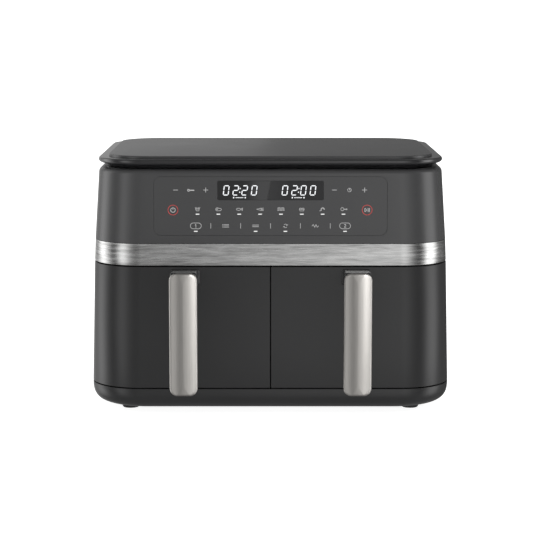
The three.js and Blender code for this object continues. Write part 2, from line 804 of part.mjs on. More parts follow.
function drawerGroup(name, side) {
  const y = POT_MIDDLE;
  const bayGroupX = side * BAY_X;
  add(`${name}_drawer_front`, drawerFront(side), satinCharcoal);
  add(`${name}_drawer_inner_cover`, drawerInnerCover(side), darkPlastic);
  add(`${name}_pot`, pot(), nonStick).position.x = bayGroupX;
  add(`${name}_handle_arm`, handleArm(), glossBlack).position.x = side * HANDLE_X;
  add(`${name}_handle_cover`, handleCover(), satinNickel).position.x = side * HANDLE_X;
  add(`${name}_crisper_plate`, crisperPlate(), nonStick).position.x = bayGroupX;
  for (const [row, end] of [["front", -1], ["rear", 1]])
    for (const [edgeName, edge] of SIDES) {
      const bumper = new THREE.BoxGeometry(1.6, 14, 7);
      add(`${name}_plate_bumper_${row}_${edgeName}`, bumper, silicone).position.set(
        bayGroupX + edge * 71.4,
        y + end * 78,
        PLATE_Z - 3,
      );
    }
}

SIDES.forEach(([name, side]) => drawerGroup(name, side));

// ---------------------------------------------------------------- switches, boards and cord gland

// A drawer switch behind each bay. The closed drawer holds its plunger in.
function drawerSwitch(name, side) {
  const tip = POT_BACK - 1 + 0.4;
  const face = BAY_BACK + GAP;
  const x = side * BAY_X;
  const bore = alongY(PLUNGER_RADIUS + GAP, face - 5, face + 7, 0, SWITCH_Z, 12);
  const body = box(-10, 10, face, face + 13, SWITCH_Z - 7, SWITCH_Z + 7).subtract(bore);
  add(`${name}_drawer_switch`, body, darkPlastic).position.x = x;
  const plunger = alongY(PLUNGER_RADIUS, tip, face + 5, 0, SWITCH_Z, 12);
  add(`${name}_switch_plunger`, plunger, whitePlastic).position.x = x;
}

function powerBoard() {
  const z = 222;
  const y = FRONT + 230;
  return union(
    box(-46, 46, y - 55, y + 55, z, z + 1.6),
    box(-38, -12, y - 45, y - 18, z + 1, z + 20),
    box(6, 22, y - 44, y - 28, z + 1, z + 16),
    box(26, 42, y - 44, y - 28, z + 1, z + 16),
    upright(8, z + 1, z + 26, 28, y + 10, 14),
    box(-36, -8, y + 14, y + 32, z + 1, z + 12),
  );
}

// The bush that a mains cord passes through.
function cordGland() {
  const bore = 4.4;
  const wall = BACK - inset(GLAND_Z);
  const profile = [
    [bore, wall - 9],
    [GLAND_HOLE - GAP, wall - 9],
    [GLAND_HOLE - GAP, wall + GAP],
    [11, wall + GAP],
    [11, wall + 2.5],
    [8.2, wall + 4],
    [7, BACK + GLAND_REACH],
    [bore, BACK + GLAND_REACH],
    [bore, wall - 9],
  ].map(([r, y]) => new THREE.Vector2(r, y));
  return new THREE.LatheGeometry(profile, 20);
}

SIDES.forEach(([name, side]) => drawerSwitch(name, side));
add("power_board", powerBoard(), circuitGreen);
add("cord_gland", cordGland(), darkPlastic).position.set(GLAND_X, 0, GLAND_Z);

export default object;
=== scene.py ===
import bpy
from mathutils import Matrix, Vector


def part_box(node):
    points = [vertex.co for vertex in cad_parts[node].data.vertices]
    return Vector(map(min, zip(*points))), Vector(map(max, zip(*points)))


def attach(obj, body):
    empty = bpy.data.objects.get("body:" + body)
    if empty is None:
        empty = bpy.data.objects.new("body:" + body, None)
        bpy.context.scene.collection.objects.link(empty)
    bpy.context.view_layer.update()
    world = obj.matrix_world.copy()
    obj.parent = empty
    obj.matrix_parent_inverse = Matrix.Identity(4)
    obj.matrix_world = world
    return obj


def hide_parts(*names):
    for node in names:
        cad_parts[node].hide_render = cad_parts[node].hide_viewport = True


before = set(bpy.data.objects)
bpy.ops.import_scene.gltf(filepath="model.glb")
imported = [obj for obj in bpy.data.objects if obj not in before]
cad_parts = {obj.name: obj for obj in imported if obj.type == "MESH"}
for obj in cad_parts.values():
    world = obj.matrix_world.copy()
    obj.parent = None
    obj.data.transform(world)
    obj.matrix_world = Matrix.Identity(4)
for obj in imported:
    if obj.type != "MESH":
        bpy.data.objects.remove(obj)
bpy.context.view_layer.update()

import math

import bmesh
import bpy
from mathutils import Matrix, Vector

mm = 0.001

# ---------------------------------------------------------------------------------------------
# The base pan: a charcoal moulding that closes the underside like a shallow bowl. Its wall curves in
# from the seam below the drawers to a flat bottom, and self-tapping screws hold it to the front frame.

pan_low, pan_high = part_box("base_pan")
half_width = pan_high.x
half_depth = (pan_high.y - pan_low.y) / 2
front = pan_low.y
back = pan_high.y
middle = (front + back) / 2
seam_z = pan_high.z
underside_z = pan_low.z
corner_radius = 57 * mm
bowl_reach = 26 * mm
bowl_fullness = 0.75  # 1 would be an ellipse from the side, and below 1 the bowl is fuller
pan_wall = 2.5 * mm
seam_round = 0.5 * mm
round_middle = 0.3  # where an edge radius has its middle point, as a share of the radius


def arc(cx, cy, radius, start, end, steps):
    """Points on an arc in plan, from one angle to another in degrees, both ends included."""
    angles = [math.radians(start + (end - start) * i / steps) for i in range(steps + 1)]
    return [(cx + radius * math.cos(a), cy + radius * math.sin(a)) for a in angles]


def rounded_rectangle(half_x, half_y, radius, cx=0, cy=0, steps=18):
    """An anticlockwise outline that starts at the right end of its front edge."""
    outline = []
    for sx, sy, start in ((1, -1, -90), (1, 1, 0), (-1, 1, 90), (-1, -1, 180)):
        corner = (cx + sx * (half_x - radius), cy + sy * (half_y - radius))
        outline += arc(*corner, radius, start, start + 90, steps)
    return outline


def body_outline(inwards, steps=18):
    """The body's plan outline, moved inwards."""
    return rounded_rectangle(
        half_width - inwards, half_depth - inwards, corner_radius - inwards / 2, 0, middle, steps
    )


def at_height(outline, z):
    return [(x, y, z) for x, y in outline]


def grid_mesh(name, rows, rows_meet=False, columns_meet=True, caps=True):
    """A closed skin over rows of points. Where the rows or the columns don't meet, caps fill their ends."""
    height, width = len(rows), len(rows[0])
    faces = []
    for i in range(height if rows_meet else height - 1):
        for j in range(width if columns_meet else width - 1):
            i2, j2 = (i + 1) % height, (j + 1) % width
            faces.append([i * width + j, i * width + j2, i2 * width + j2, i2 * width + j])
    if caps and not rows_meet:
        faces.append([j for j in reversed(range(width))])
        faces.append([(height - 1) * width + j for j in range(width)])
    if caps and not columns_meet:
        faces.append([i * width for i in range(height)])
        faces.append([i * width + width - 1 for i in reversed(range(height))])
    mesh = bpy.data.meshes.new(name)
    mesh.from_pydata([tuple(p) for row in rows for p in row], [], faces)
    return mesh


def round_edges(piece, width, segments, angle):
    """A small radius on every edge that turns by more than an angle in degrees."""
    rounding = piece.modifiers.new("edge radius", "BEVEL")
    rounding.width = width
    rounding.segments = segments
    rounding.limit_method = "ANGLE"
    rounding.angle_limit = math.radians(angle)
    rounding.harden_normals = True


def make_piece(name, mesh, body, finish, replaced=(), sharp=30, bevel=0, place=None):
    """Links a mesh as a piece on a CAD body, with soft shading and, if asked, a small edge radius."""
    work = bmesh.new()
    work.from_mesh(mesh)
    bmesh.ops.remove_doubles(work, verts=work.verts, dist=1e-7)
    bmesh.ops.recalc_face_normals(work, faces=work.faces)
    if place:
        bmesh.ops.transform(work, matrix=place, verts=work.verts)
    work.to_mesh(mesh)
    work.free()
    mesh.shade_smooth()
    mesh.name = name
    piece = bpy.data.objects.new(name, mesh)
    bpy.context.scene.collection.objects.link(piece)
    if bevel:
        round_edges(piece, bevel, 3, sharp)
    else:
        mesh.set_sharp_from_angle(angle=math.radians(sharp))
    mesh.materials.append(finish)
    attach(piece, body)
    if replaced:
        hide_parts(*replaced)
    return piece


class Socket:
    """A shader value. Arithmetic on it adds the Math nodes for the expression."""

    def __init__(self, finish, link):
        self.finish = finish
        self.link = link

    def _math(self, operation, first, second):
        return self.finish.node("ShaderNodeMath", {"operation": operation}, {0: first, 1: second})

    def __add__(self, other):
        return self._math("ADD", self, other)

    __radd__ = __add__

    def __mul__(self, other):
        return self._math("MULTIPLY", self, other)

    __rmul__ = __mul__

    def __sub__(self, other):
        return self._math("SUBTRACT", self, other)

    def __rsub__(self, other):
        return self._math("SUBTRACT", other, self)

    def __abs__(self):
        return self._math("ABSOLUTE", self, 0)


class Finish:
    """A material built from nodes round one Principled shader. Its fixed values are set on the shader."""

    def __init__(self, name, **fixed):
        self.material = bpy.data.materials.new(name)
        self.material.use_nodes = True
        self.tree = self.material.node_tree
        self.shader = self.tree.nodes["Principled BSDF"]
        for socket, value in fixed.items():
            self.shader.inputs[socket.replace("_", " ")].default_value = value

    def node(self, kind, settings=None, values=None, output=0):
        """A node with its settings and its input values or links, as a Socket for one of its outputs."""
        made = self.tree.nodes.new(kind)
        for key, value in (settings or {}).items():
            if key == "stops":
                ramp = made.color_ramp
                for i, (place, color) in enumerate(value):
                    stop = ramp.elements[i] if i < 2 else ramp.elements.new(place)
                    stop.position = place
                    stop.color = (*color, 1)
            else:
                setattr(made, key, value)
        for key, value in (values or {}).items():
            self.set(made.inputs[key], value)
        return Socket(self, made.outputs[output])

    def set(self, socket, value):
        if isinstance(value, Socket):
            self.tree.links.new(value.link, socket)
        else:
            socket.default_value = value

    def vary(self, **values):
        """Links values that vary to the shader's sockets."""
        for key, value in values.items():
            self.set(self.shader.inputs[key.replace("_", " ")], value)
        return self

    def here(self):
        """Object coordinates, in metres."""
        return self.node("ShaderNodeTexCoord", output=3)

    def stretched(self, x, y, z):
        """Object coordinates scaled along each axis."""
        return self.node("ShaderNodeMapping", {}, {"Vector": self.here(), "Scale": (x, y, z)})

    def noise(self, vector, scale=1.0, detail=3.0, roughness=0.5):
        values = {"Vector": vector, "Scale": scale, "Detail": detail, "Roughness": roughness}
        return self.node("ShaderNodeTexNoise", {}, values)

    def mottle(self, scale, detail=3.0):
        """Noise that is equally fine along every axis."""
        return self.noise(self.stretched(scale, scale, scale), detail=detail)

    def blend(self, factor, first, second):
        """A mix of two colours, each one a triple or a Socket."""
        first, second = (c if isinstance(c, Socket) else (*c, 1) for c in (first, second))
        values = {"Factor": factor, 6: first, 7: second}
        return self.node("ShaderNodeMix", {"data_type": "RGBA"}, values, output=2)

    def bump(self, height, distance, strength=1.0):
        values = {"Height": height, "Distance": distance, "Strength": strength}
        return self.node("ShaderNodeBump", {}, values)


def moulded(name, dark, light, roughness, grain=0.02 * mm, coat=0.0):
    """Injection-moulded or sprayed plastic: a fine spark-eroded grain with faint cloudy variation."""
    finish = Finish(name, Coat_Weight=coat, Coat_Roughness=0.25)
    cloud = finish.mottle(14, 4)
    fine = finish.mottle(1800, 2)
    finish.vary(
        Base_Color=finish.blend(cloud * 0.7 + fine * 0.3, dark, light),
        Roughness=roughness - 0.04 + cloud * 0.05 + fine * 0.03,
        Normal=finish.bump(fine, grain),
    )
    return finish.material


satin_charcoal = moulded("satin charcoal", (0.013, 0.013, 0.0135), (0.0175, 0.0175, 0.018), 0.31)


def bowl_rows(inwards, steps=14):
    """Outlines of the bowl from its flat bottom up to the seam, moved in by a wall."""
    depth = seam_z - underside_z - inwards
    reach = bowl_reach - inwards
    rows = []
    for i in range(steps + 1):
        a = math.pi / 2 * (1 - i / steps)
        z = seam_z - depth * math.sin(a) ** bowl_fullness
        rows.append(at_height(body_outline(inwards + reach * (1 - math.cos(a) ** bowl_fullness)), z))
    return rows


pan_rows = bowl_rows(0)[:-1]
for drop, inwards in (
    (seam_round, 0),
    (seam_round * round_middle, seam_round * round_middle),
    (0, seam_round),
    (0, pan_wall),
):
    pan_rows.append(at_height(body_outline(inwards), seam_z - drop))
pan_rows += bowl_rows(pan_wall)[::-1][1:]
make_piece(
    "base_pan_moulding",
    grid_mesh("base pan", pan_rows),
    "housing",
    satin_charcoal,
    ["base_pan"],
)


# ---------------------------------------------------------------------------------------------
# The four feet: turned rings of grippy silicone near the corners, hollowed underneath. A peg on each one
# is pressed into a hole in the base pan.


def turned(name, profile, segments=40):
    """A lathe mesh about Z from (radius, z) points that start and end on the axis."""
    rows = []
    for radius, z in profile[1:-1]:
        turn = [math.tau * i / segments for i in range(segments)]
        rows.append([(radius * math.cos(a), radius * math.sin(a), z) for a in turn])
    return grid_mesh(name, rows)


rubber = moulded("silicone rubber", (0.012, 0.012, 0.013), (0.02, 0.02, 0.021), 0.75, 0.05 * mm)
foot_hollow = 1.2 * mm

for row in ("front", "rear"):
    for side in ("left", "right"):
        low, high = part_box(f"foot_{row}_{side}")
        radius = (high.x - low.x) / 2
        foot = [
            (0, foot_hollow),
            (radius * 0.45, foot_hollow),
            (radius * 0.5, 0),
            (radius - 2.4 * mm, 0),
            (radius - 1.3 * mm, 0.25 * mm),
            (radius - 0.4 * mm, 1.3 * mm),
            (radius, 3 * mm),
            (radius, high.z),
            (0, high.z),
        ]
        make_piece(
            f"foot_pad_{row}_{side}",
            turned("foot", foot),
            "housing",
            rubber,
            [f"foot_{row}_{side}"],
            place=Matrix.Translation(((low.x + high.x) / 2, (low.y + high.y) / 2, 0)),
        )


# ---------------------------------------------------------------------------------------------
# The side and back walls: one charcoal moulding that runs from the right drawer's edge round the back
# to the left drawer's edge, and carries the cord gland low on the back.

wall_low, wall_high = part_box("lower_shell")
band_low, band_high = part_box("trim_band")
shoulder_z = 269.6 * mm
housing_foot_z = 194 * mm
walls_start_y = wall_low.y
# The body's wall leans in: at each height, how far it lies inside the widest outline.
taper = [(32 * mm, 0), (169 * mm, 3.3 * mm), (housing_foot_z, 4.3 * mm), (shoulder_z, 9 * mm)]


def inset(z):
    """How far the body's wall lies inside its widest outline at a height."""
    if z <= taper[0][0]:
        return taper[0][1]
    for (z0, d0), (z1, d1) in zip(taper, taper[1:]):
        if z <= z1:
            return d0 + (d1 - d0) * (z - z0) / (z1 - z0)
    return taper[-1][1]


def wall_path(inwards):
    """The outline from the right-hand seam round the back to the left-hand seam."""
    radius = corner_radius - inwards / 2
    cx = half_width - inwards - radius
    cy = back - inwards - radius
    right = arc(cx, cy, radius, 0, 90, 18)
    left = arc(-cx, cy, radius, 90, 180, 18)
    return [(half_width - inwards, walls_start_y), *right, *left, (inwards - half_width, walls_start_y)]


wall_thickness = 2.5 * mm
wall_rows = [
    at_height(wall_path(inset(z) + inwards), z)
    for z, inwards in (
        (wall_low.z, 0),
        (wall_high.z, 0),
        (wall_high.z, wall_thickness),
        (wall_low.z, wall_thickness),
    )
]
make_piece(
    "side_and_back_walls",
    grid_mesh("walls", wall_rows, rows_meet=True, columns_meet=False),
    "housing",
    satin_charcoal,
    ["lower_shell"],
    bevel=0.5 * mm,
)


# ---------------------------------------------------------------------------------------------
# The trim band: a strip of stainless steel, brushed along its length and wrapped right round the body
# between the drawers and the control housing. Clips on the housing's skirt hold it.


def brushed(name, color, roughness, streak, contrast, depth=0.02 * mm, wander=0.0):
    """Brushed metal. The streak scales stretch the noise along the brushing and squeeze it across."""
    finish = Finish(name, Metallic=1.0)
    where = finish.stretched(*streak)
    if wander:
        bend = finish.mottle(35, 1)
        lift = finish.node("ShaderNodeCombineXYZ", {}, {"Z": (bend - 0.5) * wander})
        where = finish.node("ShaderNodeVectorMath", {"operation": "ADD"}, {0: where, 1: lift})
    long_marks = finish.noise(where, detail=3, roughness=0.6)
    fine = finish.noise(where, scale=3.1, detail=2)
    marks = (long_marks * 0.7 + fine * 0.3 - 0.5) * contrast + 0.5
    finish.vary(
        Base_Color=finish.blend(marks, [c * 0.6 for c in color], [min(1, c * 1.4) for c in color]),
        Roughness=roughness - 0.06 + marks * 0.12,
        Normal=finish.bump(marks, depth),
    )
    return finish.material


band_steel = brushed("brushed band steel", (0.56, 0.56, 0.555), 0.24, (26, 26, 420), 2.8, 0.02 * mm, 1.6)
band_thickness = 0.9 * mm
band_round = 0.35 * mm
band_rows = []
for z, inwards in (
    (band_low.z + band_round, 0),
    (band_high.z - band_round, 0),
    (band_high.z - band_round * round_middle, band_round * round_middle),
    (band_high.z, band_round),
    (band_high.z, band_thickness),
    (band_low.z, band_thickness),
    (band_low.z, band_round),
    (band_low.z + band_round * round_middle, band_round * round_middle),
):
    band_rows.append(at_height(body_outline(inset(z) + inwards, 28), z))
make_piece(
    "steel_trim_band",
    grid_mesh("band", band_rows, rows_meet=True),
    "housing",
    band_steel,
    ["trim_band"],
)


# ---------------------------------------------------------------------------------------------
# The control housing: a graphite moulding between the band and the lid, whose wall leans in towards a
# rounded shoulder. The control panel sits in a shallow recess on its front, the vent in one on its back.

satin_graphite = moulded("satin graphite", (0.036, 0.036, 0.037), (0.044, 0.044, 0.045), 0.25)

shell_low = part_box("upper_shell")[0]
shell_wall = 2.5 * mm
shoulder_radius = 6 * mm
skirt_inwards = band_thickness + 0.4 * mm
mouth_inwards = 24 * mm


def housing_rows(inwards, steps=10):
    """Outlines of the housing from its skirt behind the band up to the top of its shoulder."""
    rows = [
        (shell_low.z, inset(shell_low.z) + skirt_inwards),
        (band_high.z + 0.1 * mm, inset(band_high.z) + skirt_inwards),
        (band_high.z + 0.2 * mm, inset(band_high.z) + 0.25 * mm),
        (band_high.z + 0.5 * mm, inset(band_high.z)),
        (shoulder_z, inset(shoulder_z)),
    ]
    reach = shoulder_radius - inwards
    for i in range(1, steps + 1):
        a = math.pi / 2 * i / steps
        rows.append((shoulder_z + reach * math.sin(a), inset(shoulder_z) + reach * (1 - math.cos(a))))
    return [at_height(body_outline(d + inwards), z) for z, d in rows]


shell_rows = housing_rows(0)
shell_rows.append(at_height(body_outline(mouth_inwards), shoulder_z + shoulder_radius))
shell_rows.append(at_height(body_outline(mouth_inwards), shoulder_z + shoulder_radius - shell_wall))
shell_rows += housing_rows(shell_wall)[::-1]
control_housing = make_piece(
    "control_housing",
    grid_mesh("control housing", shell_rows, rows_meet=True),
    "housing",
    satin_graphite,
    ["upper_shell"],
)


def cut(piece, cutter_mesh, place=None):
    """Cuts a closed mesh out of a piece."""
    cutter = bpy.data.objects.new("cutter", cutter_mesh)
    bpy.context.scene.collection.objects.link(cutter)
    if place:
        cutter.matrix_world = place
    step = piece.modifiers.new("cut", "BOOLEAN")
    step.operation = "DIFFERENCE"
    step.solver = "EXACT"
    step.object = cutter
    bpy.context.view_layer.update()
    evaluated = piece.evaluated_get(bpy.context.evaluated_depsgraph_get())
    result = bpy.data.meshes.new_from_object(evaluated)
    piece.modifiers.clear()
    old = piece.data
    piece.data = result
    result.name = old.name
    result.set_sharp_from_angle(angle=math.radians(30))
    bpy.data.meshes.remove(old)
    bpy.data.objects.remove(cutter)


def on_face(z, is_back=False):
    """A frame on the sloping front or back: x along it, y up it and z straight out of it."""
    lean = math.atan2(inset(shoulder_z) - inset(housing_foot_z), shoulder_z - housing_foot_z)
    y = back - inset(z) if is_back else front + inset(z)
    turn = Matrix.Rotation(math.pi, 4, "Z") if is_back else Matrix.Identity(4)
    return Matrix.Translation((0, y, z)) @ turn @ Matrix.Rotation(math.pi / 2 - lean, 4, "X")


def slab(name, outline, low, high):
    """A flat plate with the given outline."""
    return grid_mesh(name, [at_height(outline, low), at_height(outline, high)])


panel_z = 235.5 * mm
panel_half_x = 128.4 * mm
panel_half_y = 32.3 * mm
panel_corner = 8 * mm
panel_thickness = 1 * mm
panel_face = on_face(panel_z)
line_gap = 0.3 * mm
cutter_out = 5 * mm
recess = rounded_rectangle(panel_half_x + line_gap, panel_half_y + line_gap, panel_corner + line_gap)
cut(control_housing, slab("recess", recess, -panel_thickness - line_gap, cutter_out), panel_face)

vent_z = 238 * mm
vent_half_x = 112 * mm
vent_half_y = 22 * mm
vent_corner = 6 * mm
vent_gap = 0.4 * mm
vent_ledge = 4 * mm
vent_recess_depth = 1.6 * mm
vent_hole_depth = 10 * mm
vent_face = on_face(vent_z, True)
vent_recess = rounded_rectangle(vent_half_x + vent_gap, vent_half_y + vent_gap, vent_corner, steps=8)
cut(control_housing, slab("vent recess", vent_recess, -vent_recess_depth, cutter_out), vent_face)
vent_hole = rounded_rectangle(vent_half_x - vent_ledge, vent_half_y - vent_ledge, vent_ledge, steps=6)
cut(control_housing, slab("vent hole", vent_hole, -vent_hole_depth, cutter_out), vent_face)


# ---------------------------------------------------------------------------------------------
# The control panel: a thin graphite plate, flush in its recess, with two windows in it. Its touch
# keys are printed on it, so nothing on it moves.


def plate(name, outline, holes, thickness, bevel=0.12 * mm):
    """A plate with holes and a small edge radius. Its front lies at z = 0."""
    curve = bpy.data.curves.new(name, "CURVE")
    curve.dimensions = "2D"
    curve.fill_mode = "BOTH"
    for points in (outline, *holes):
        spline = curve.splines.new("POLY")
        spline.points.add(len(points) - 1)
        for point, (x, y) in zip(spline.points, points):
            point.co = (x, y, 0, 1)
        spline.use_cyclic_u = True
    curve.extrude = thickness / 2 - bevel
    curve.bevel_depth = bevel
    curve.bevel_resolution = 1
    curve.offset = -bevel
    maker = bpy.data.objects.new(name, curve)
    bpy.context.scene.collection.objects.link(maker)
    mesh = bpy.data.meshes.new_from_object(maker.evaluated_get(bpy.context.evaluated_depsgraph_get()))
    bpy.data.objects.remove(maker)
    bpy.data.curves.remove(curve)
    mesh.transform(Matrix.Translation((0, 0, -thickness / 2)))
    return mesh


window_half_y = 10.4 * mm
window_rise = 17.2 * mm
window_end = 58.3 * mm
window_slant = 1.9 * mm
window_corner = 1.5 * mm
window_inner = {-1: -2.2 * mm, 1: -1 * mm}
window_gap = 0.2 * mm


def window_outline(side, grow=0.0):
    """A window's outline: two round outer corners, and a slanting inner end next to the other window."""
    outer = window_end + grow
    inner = window_inner[side] - side * grow
    half = window_half_y + grow
    radius = window_corner + grow
    points = [(inner - window_slant, window_rise - half)]
    points += [(side * x, y) for x, y in arc(outer - radius, window_rise - half + radius, radius, -90, 0, 6)]
    points += [(side * x, y) for x, y in arc(outer - radius, window_rise + half - radius, radius, 0, 90, 6)]
    points += [(inner + window_slant, window_rise + half)]
    return points if side > 0 else points[::-1]


panel_outline = rounded_rectangle(panel_half_x, panel_half_y, panel_corner)
panel_holes = [window_outline(side, window_gap) for side in (-1, 1)]
make_piece(
    "touch_panel",
    plate("touch panel", panel_outline, panel_holes, panel_thickness),
    "housing",
    satin_graphite,
    ["control_panel"],
    sharp=15,
    place=panel_face,
)


def smoked_lens_painted_reflection(name, dark, light, reflection_from, reflection_to):
    """A smoked lens with a painted reflection: its colour changes from one x to another, lighter towards one
    end.
    """
    lens = Finish(name, Roughness=0.3)
    across = lens.node("ShaderNodeSeparateXYZ", {}, {"Vector": lens.here()})
    ends = {"Value": across, "From Min": reflection_from, "From Max": reflection_to}
    painted_reflection = lens.node("ShaderNodeMapRange", {"interpolation_type": "SMOOTHSTEP"}, ends)
    haze = lens.mottle(20, 1)
    return lens.vary(Base_Color=lens.blend(painted_reflection + haze * 0.1, dark, light)).material


# Both lenses are painted lighter towards the panel's middle: a painted reflection across the windows.
lens_finishes = {
    "left": smoked_lens_painted_reflection("left smoked lens", (0.006, 0.006, 0.0065), (0.035, 0.035, 0.036), -30 * mm, -9 * mm),
    "right": smoked_lens_painted_reflection("right smoked lens", (0.018, 0.018, 0.019), (0.008, 0.008, 0.009), -2 * mm, 25 * mm),
}
for side, side_name in ((-1, "left"), (1, "right")):
    make_piece(
        f"{side_name}_window_lens",
        plate("window", window_outline(side), [], panel_thickness, 0.1 * mm),
        "housing",
        lens_finishes[side_name],
        [f"{side_name}_display_window"],
        sharp=15,
        place=panel_face,
    )


# ---------------------------------------------------------------------------------------------
# The display's digits: white seven-segment bars that shine through the windows, slanted like all
# such digits, with a row of small indicator lamps below them.

digit_height = 11.2 * mm
digit_width = 6.4 * mm
digit_low = 11.7 * mm
digit_lean = 0.12
segment = 1.05 * mm
segment_gap = 0.28 * mm
segment_places = {
    "top": ((0, 1), (1, 1)),
    "middle": ((0, 0.5), (1, 0.5)),
    "bottom": ((0, 0), (1, 0)),
    "left high": ((0, 0.5), (0, 1)),
    "left low": ((0, 0), (0, 0.5)),
    "right high": ((1, 0.5), (1, 1)),
    "right low": ((1, 0), (1, 0.5)),
}
lit_segments = {
    "0": ["top", "bottom", "left high", "left low", "right high", "right low"],
    "2": ["top", "middle", "bottom", "right high", "left low"],
}


def bar(a, b, width):
    """A bar with pointed ends between two points, like a display segment."""
    along = (b - a).normalized() * width / 2
    across = Vector((-along.y, along.x))
    return [a, a + along - across, b - along - across, b, b - along + across, a + along + across]


def rectangle(cx, cy, half_x, half_y):
    return [
        (cx - half_x, cy - half_y),
        (cx + half_x, cy - half_y),
        (cx + half_x, cy + half_y),
        (cx - half_x, cy + half_y),
    ]


def raised(shapes, low, high, lean=0.0, lean_from=0.0):
    """One mesh of thin flat shapes, each an outline."""
    verts, faces = [], []
    for outline in shapes:
        start, count = len(verts), len(outline)
        for z in (low, high):
            verts += [(x + lean * (y - lean_from), y, z) for x, y in outline]
        faces.append([start + i for i in reversed(range(count))])
        faces.append([start + count + i for i in range(count)])
        for i in range(count):
            j = (i + 1) % count
            faces.append([start + i, start + j, start + count + j, start + count + i])
    mesh = bpy.data.meshes.new("shapes")
    mesh.from_pydata(verts, [], faces)
    return mesh


def clock_digit(character, x):
    """Outlines of one digit's lit segments."""
    shapes = []
    across, up = digit_width - segment, digit_height - segment
    for name in lit_segments[character]:
        a, b = (
            Vector((x + segment / 2 + u * across, digit_low + segment / 2 + v * up))
            for u, v in segment_places[name]
        )
        gap = (b - a).normalized() * segment_gap
        shapes.append(bar(a + gap, b - gap, segment))
    return shapes


digit_light = Finish("display light", Roughness=0.4, Emission_Strength=0.85)
flicker = digit_light.mottle(300, 1)
digit_light.vary(
    Base_Color=digit_light.blend(flicker, (0.22, 0.23, 0.24), (0.28, 0.29, 0.3)),
    Emission_Color=digit_light.blend(flicker, (0.92, 0.95, 1.0), (1.0, 1.0, 1.0)),
)
digit_places = (0.2 * mm, 10.7 * mm, 20.5 * mm, 31 * mm)
colon_x = 18.5 * mm
colon_radius = 0.68 * mm
colon_rises = (0.32, 0.68)
lamps_x = colon_x + 0.4 * mm
lamp_y = 9.3 * mm
lamp_pitch, lamp_half_x, lamp_half_y = 1.25 * mm, 0.42 * mm, 0.45 * mm
end_lamp_pitch, end_lamp_half_x, end_lamp_half_y = 1.6 * mm, 0.6 * mm, 0.75 * mm
for side_name, text, start in (("left", "0220", -52.8 * mm), ("right", "0200", 11.8 * mm)):
    shapes = []
    for character, x in zip(text, digit_places):
        shapes += clock_digit(character, start + x)
    for rise in colon_rises:
        shapes.append(arc(start + colon_x, digit_low + digit_height * rise, colon_radius, 0, 330, 11))
    for i in range(-3, 4):
        shapes.append(rectangle(start + lamps_x + i * lamp_pitch, lamp_y, lamp_half_x, lamp_half_y))
    for i in (-4, 4):
        x = start + lamps_x + i * end_lamp_pitch
        shapes.append(rectangle(x, lamp_y, end_lamp_half_x, end_lamp_half_y))
    make_piece(
        f"{side_name}_time_digits",
        raised(shapes, 0.02 * mm, 0.07 * mm, digit_lean, digit_low),
        "housing",
        digit_light.material,
        place=panel_face,
    )


# ---------------------------------------------------------------------------------------------
# The printed symbols: pale grey silk-screened lines on the touch panel, and two red rings. Each
# cooking program and function has its own plain icon.


def stroke(points, width):
    """A flat ribbon along a line of points, as quads that overlap a little at the bends."""
    shapes = []
    for (x0, y0), (x1, y1) in zip(points, points[1:]):
        a, b = Vector((x0, y0)), Vector((x1, y1))
        along = (b - a).normalized() * width * 0.35
        across = (b - a).normalized().orthogonal() * width / 2
        shapes.append([a - along - across, b + along - across, b + along + across, a - along + across])
    return shapes


def joined(lists):
    """One list of all the shapes in some lists."""
    return [shape for shapes in lists for shape in shapes]


def ring(cx, cy, radius, width, start=0, end=360, steps=28):
    """A flat ring or part of one, as a list of quads."""
    outer = arc(cx, cy, radius + width / 2, start, end, steps)
    inner = arc(cx, cy, radius - width / 2, start, end, steps)
    return [[inner[i], outer[i], outer[i + 1], inner[i + 1]] for i in range(steps)]


thin = 0.5
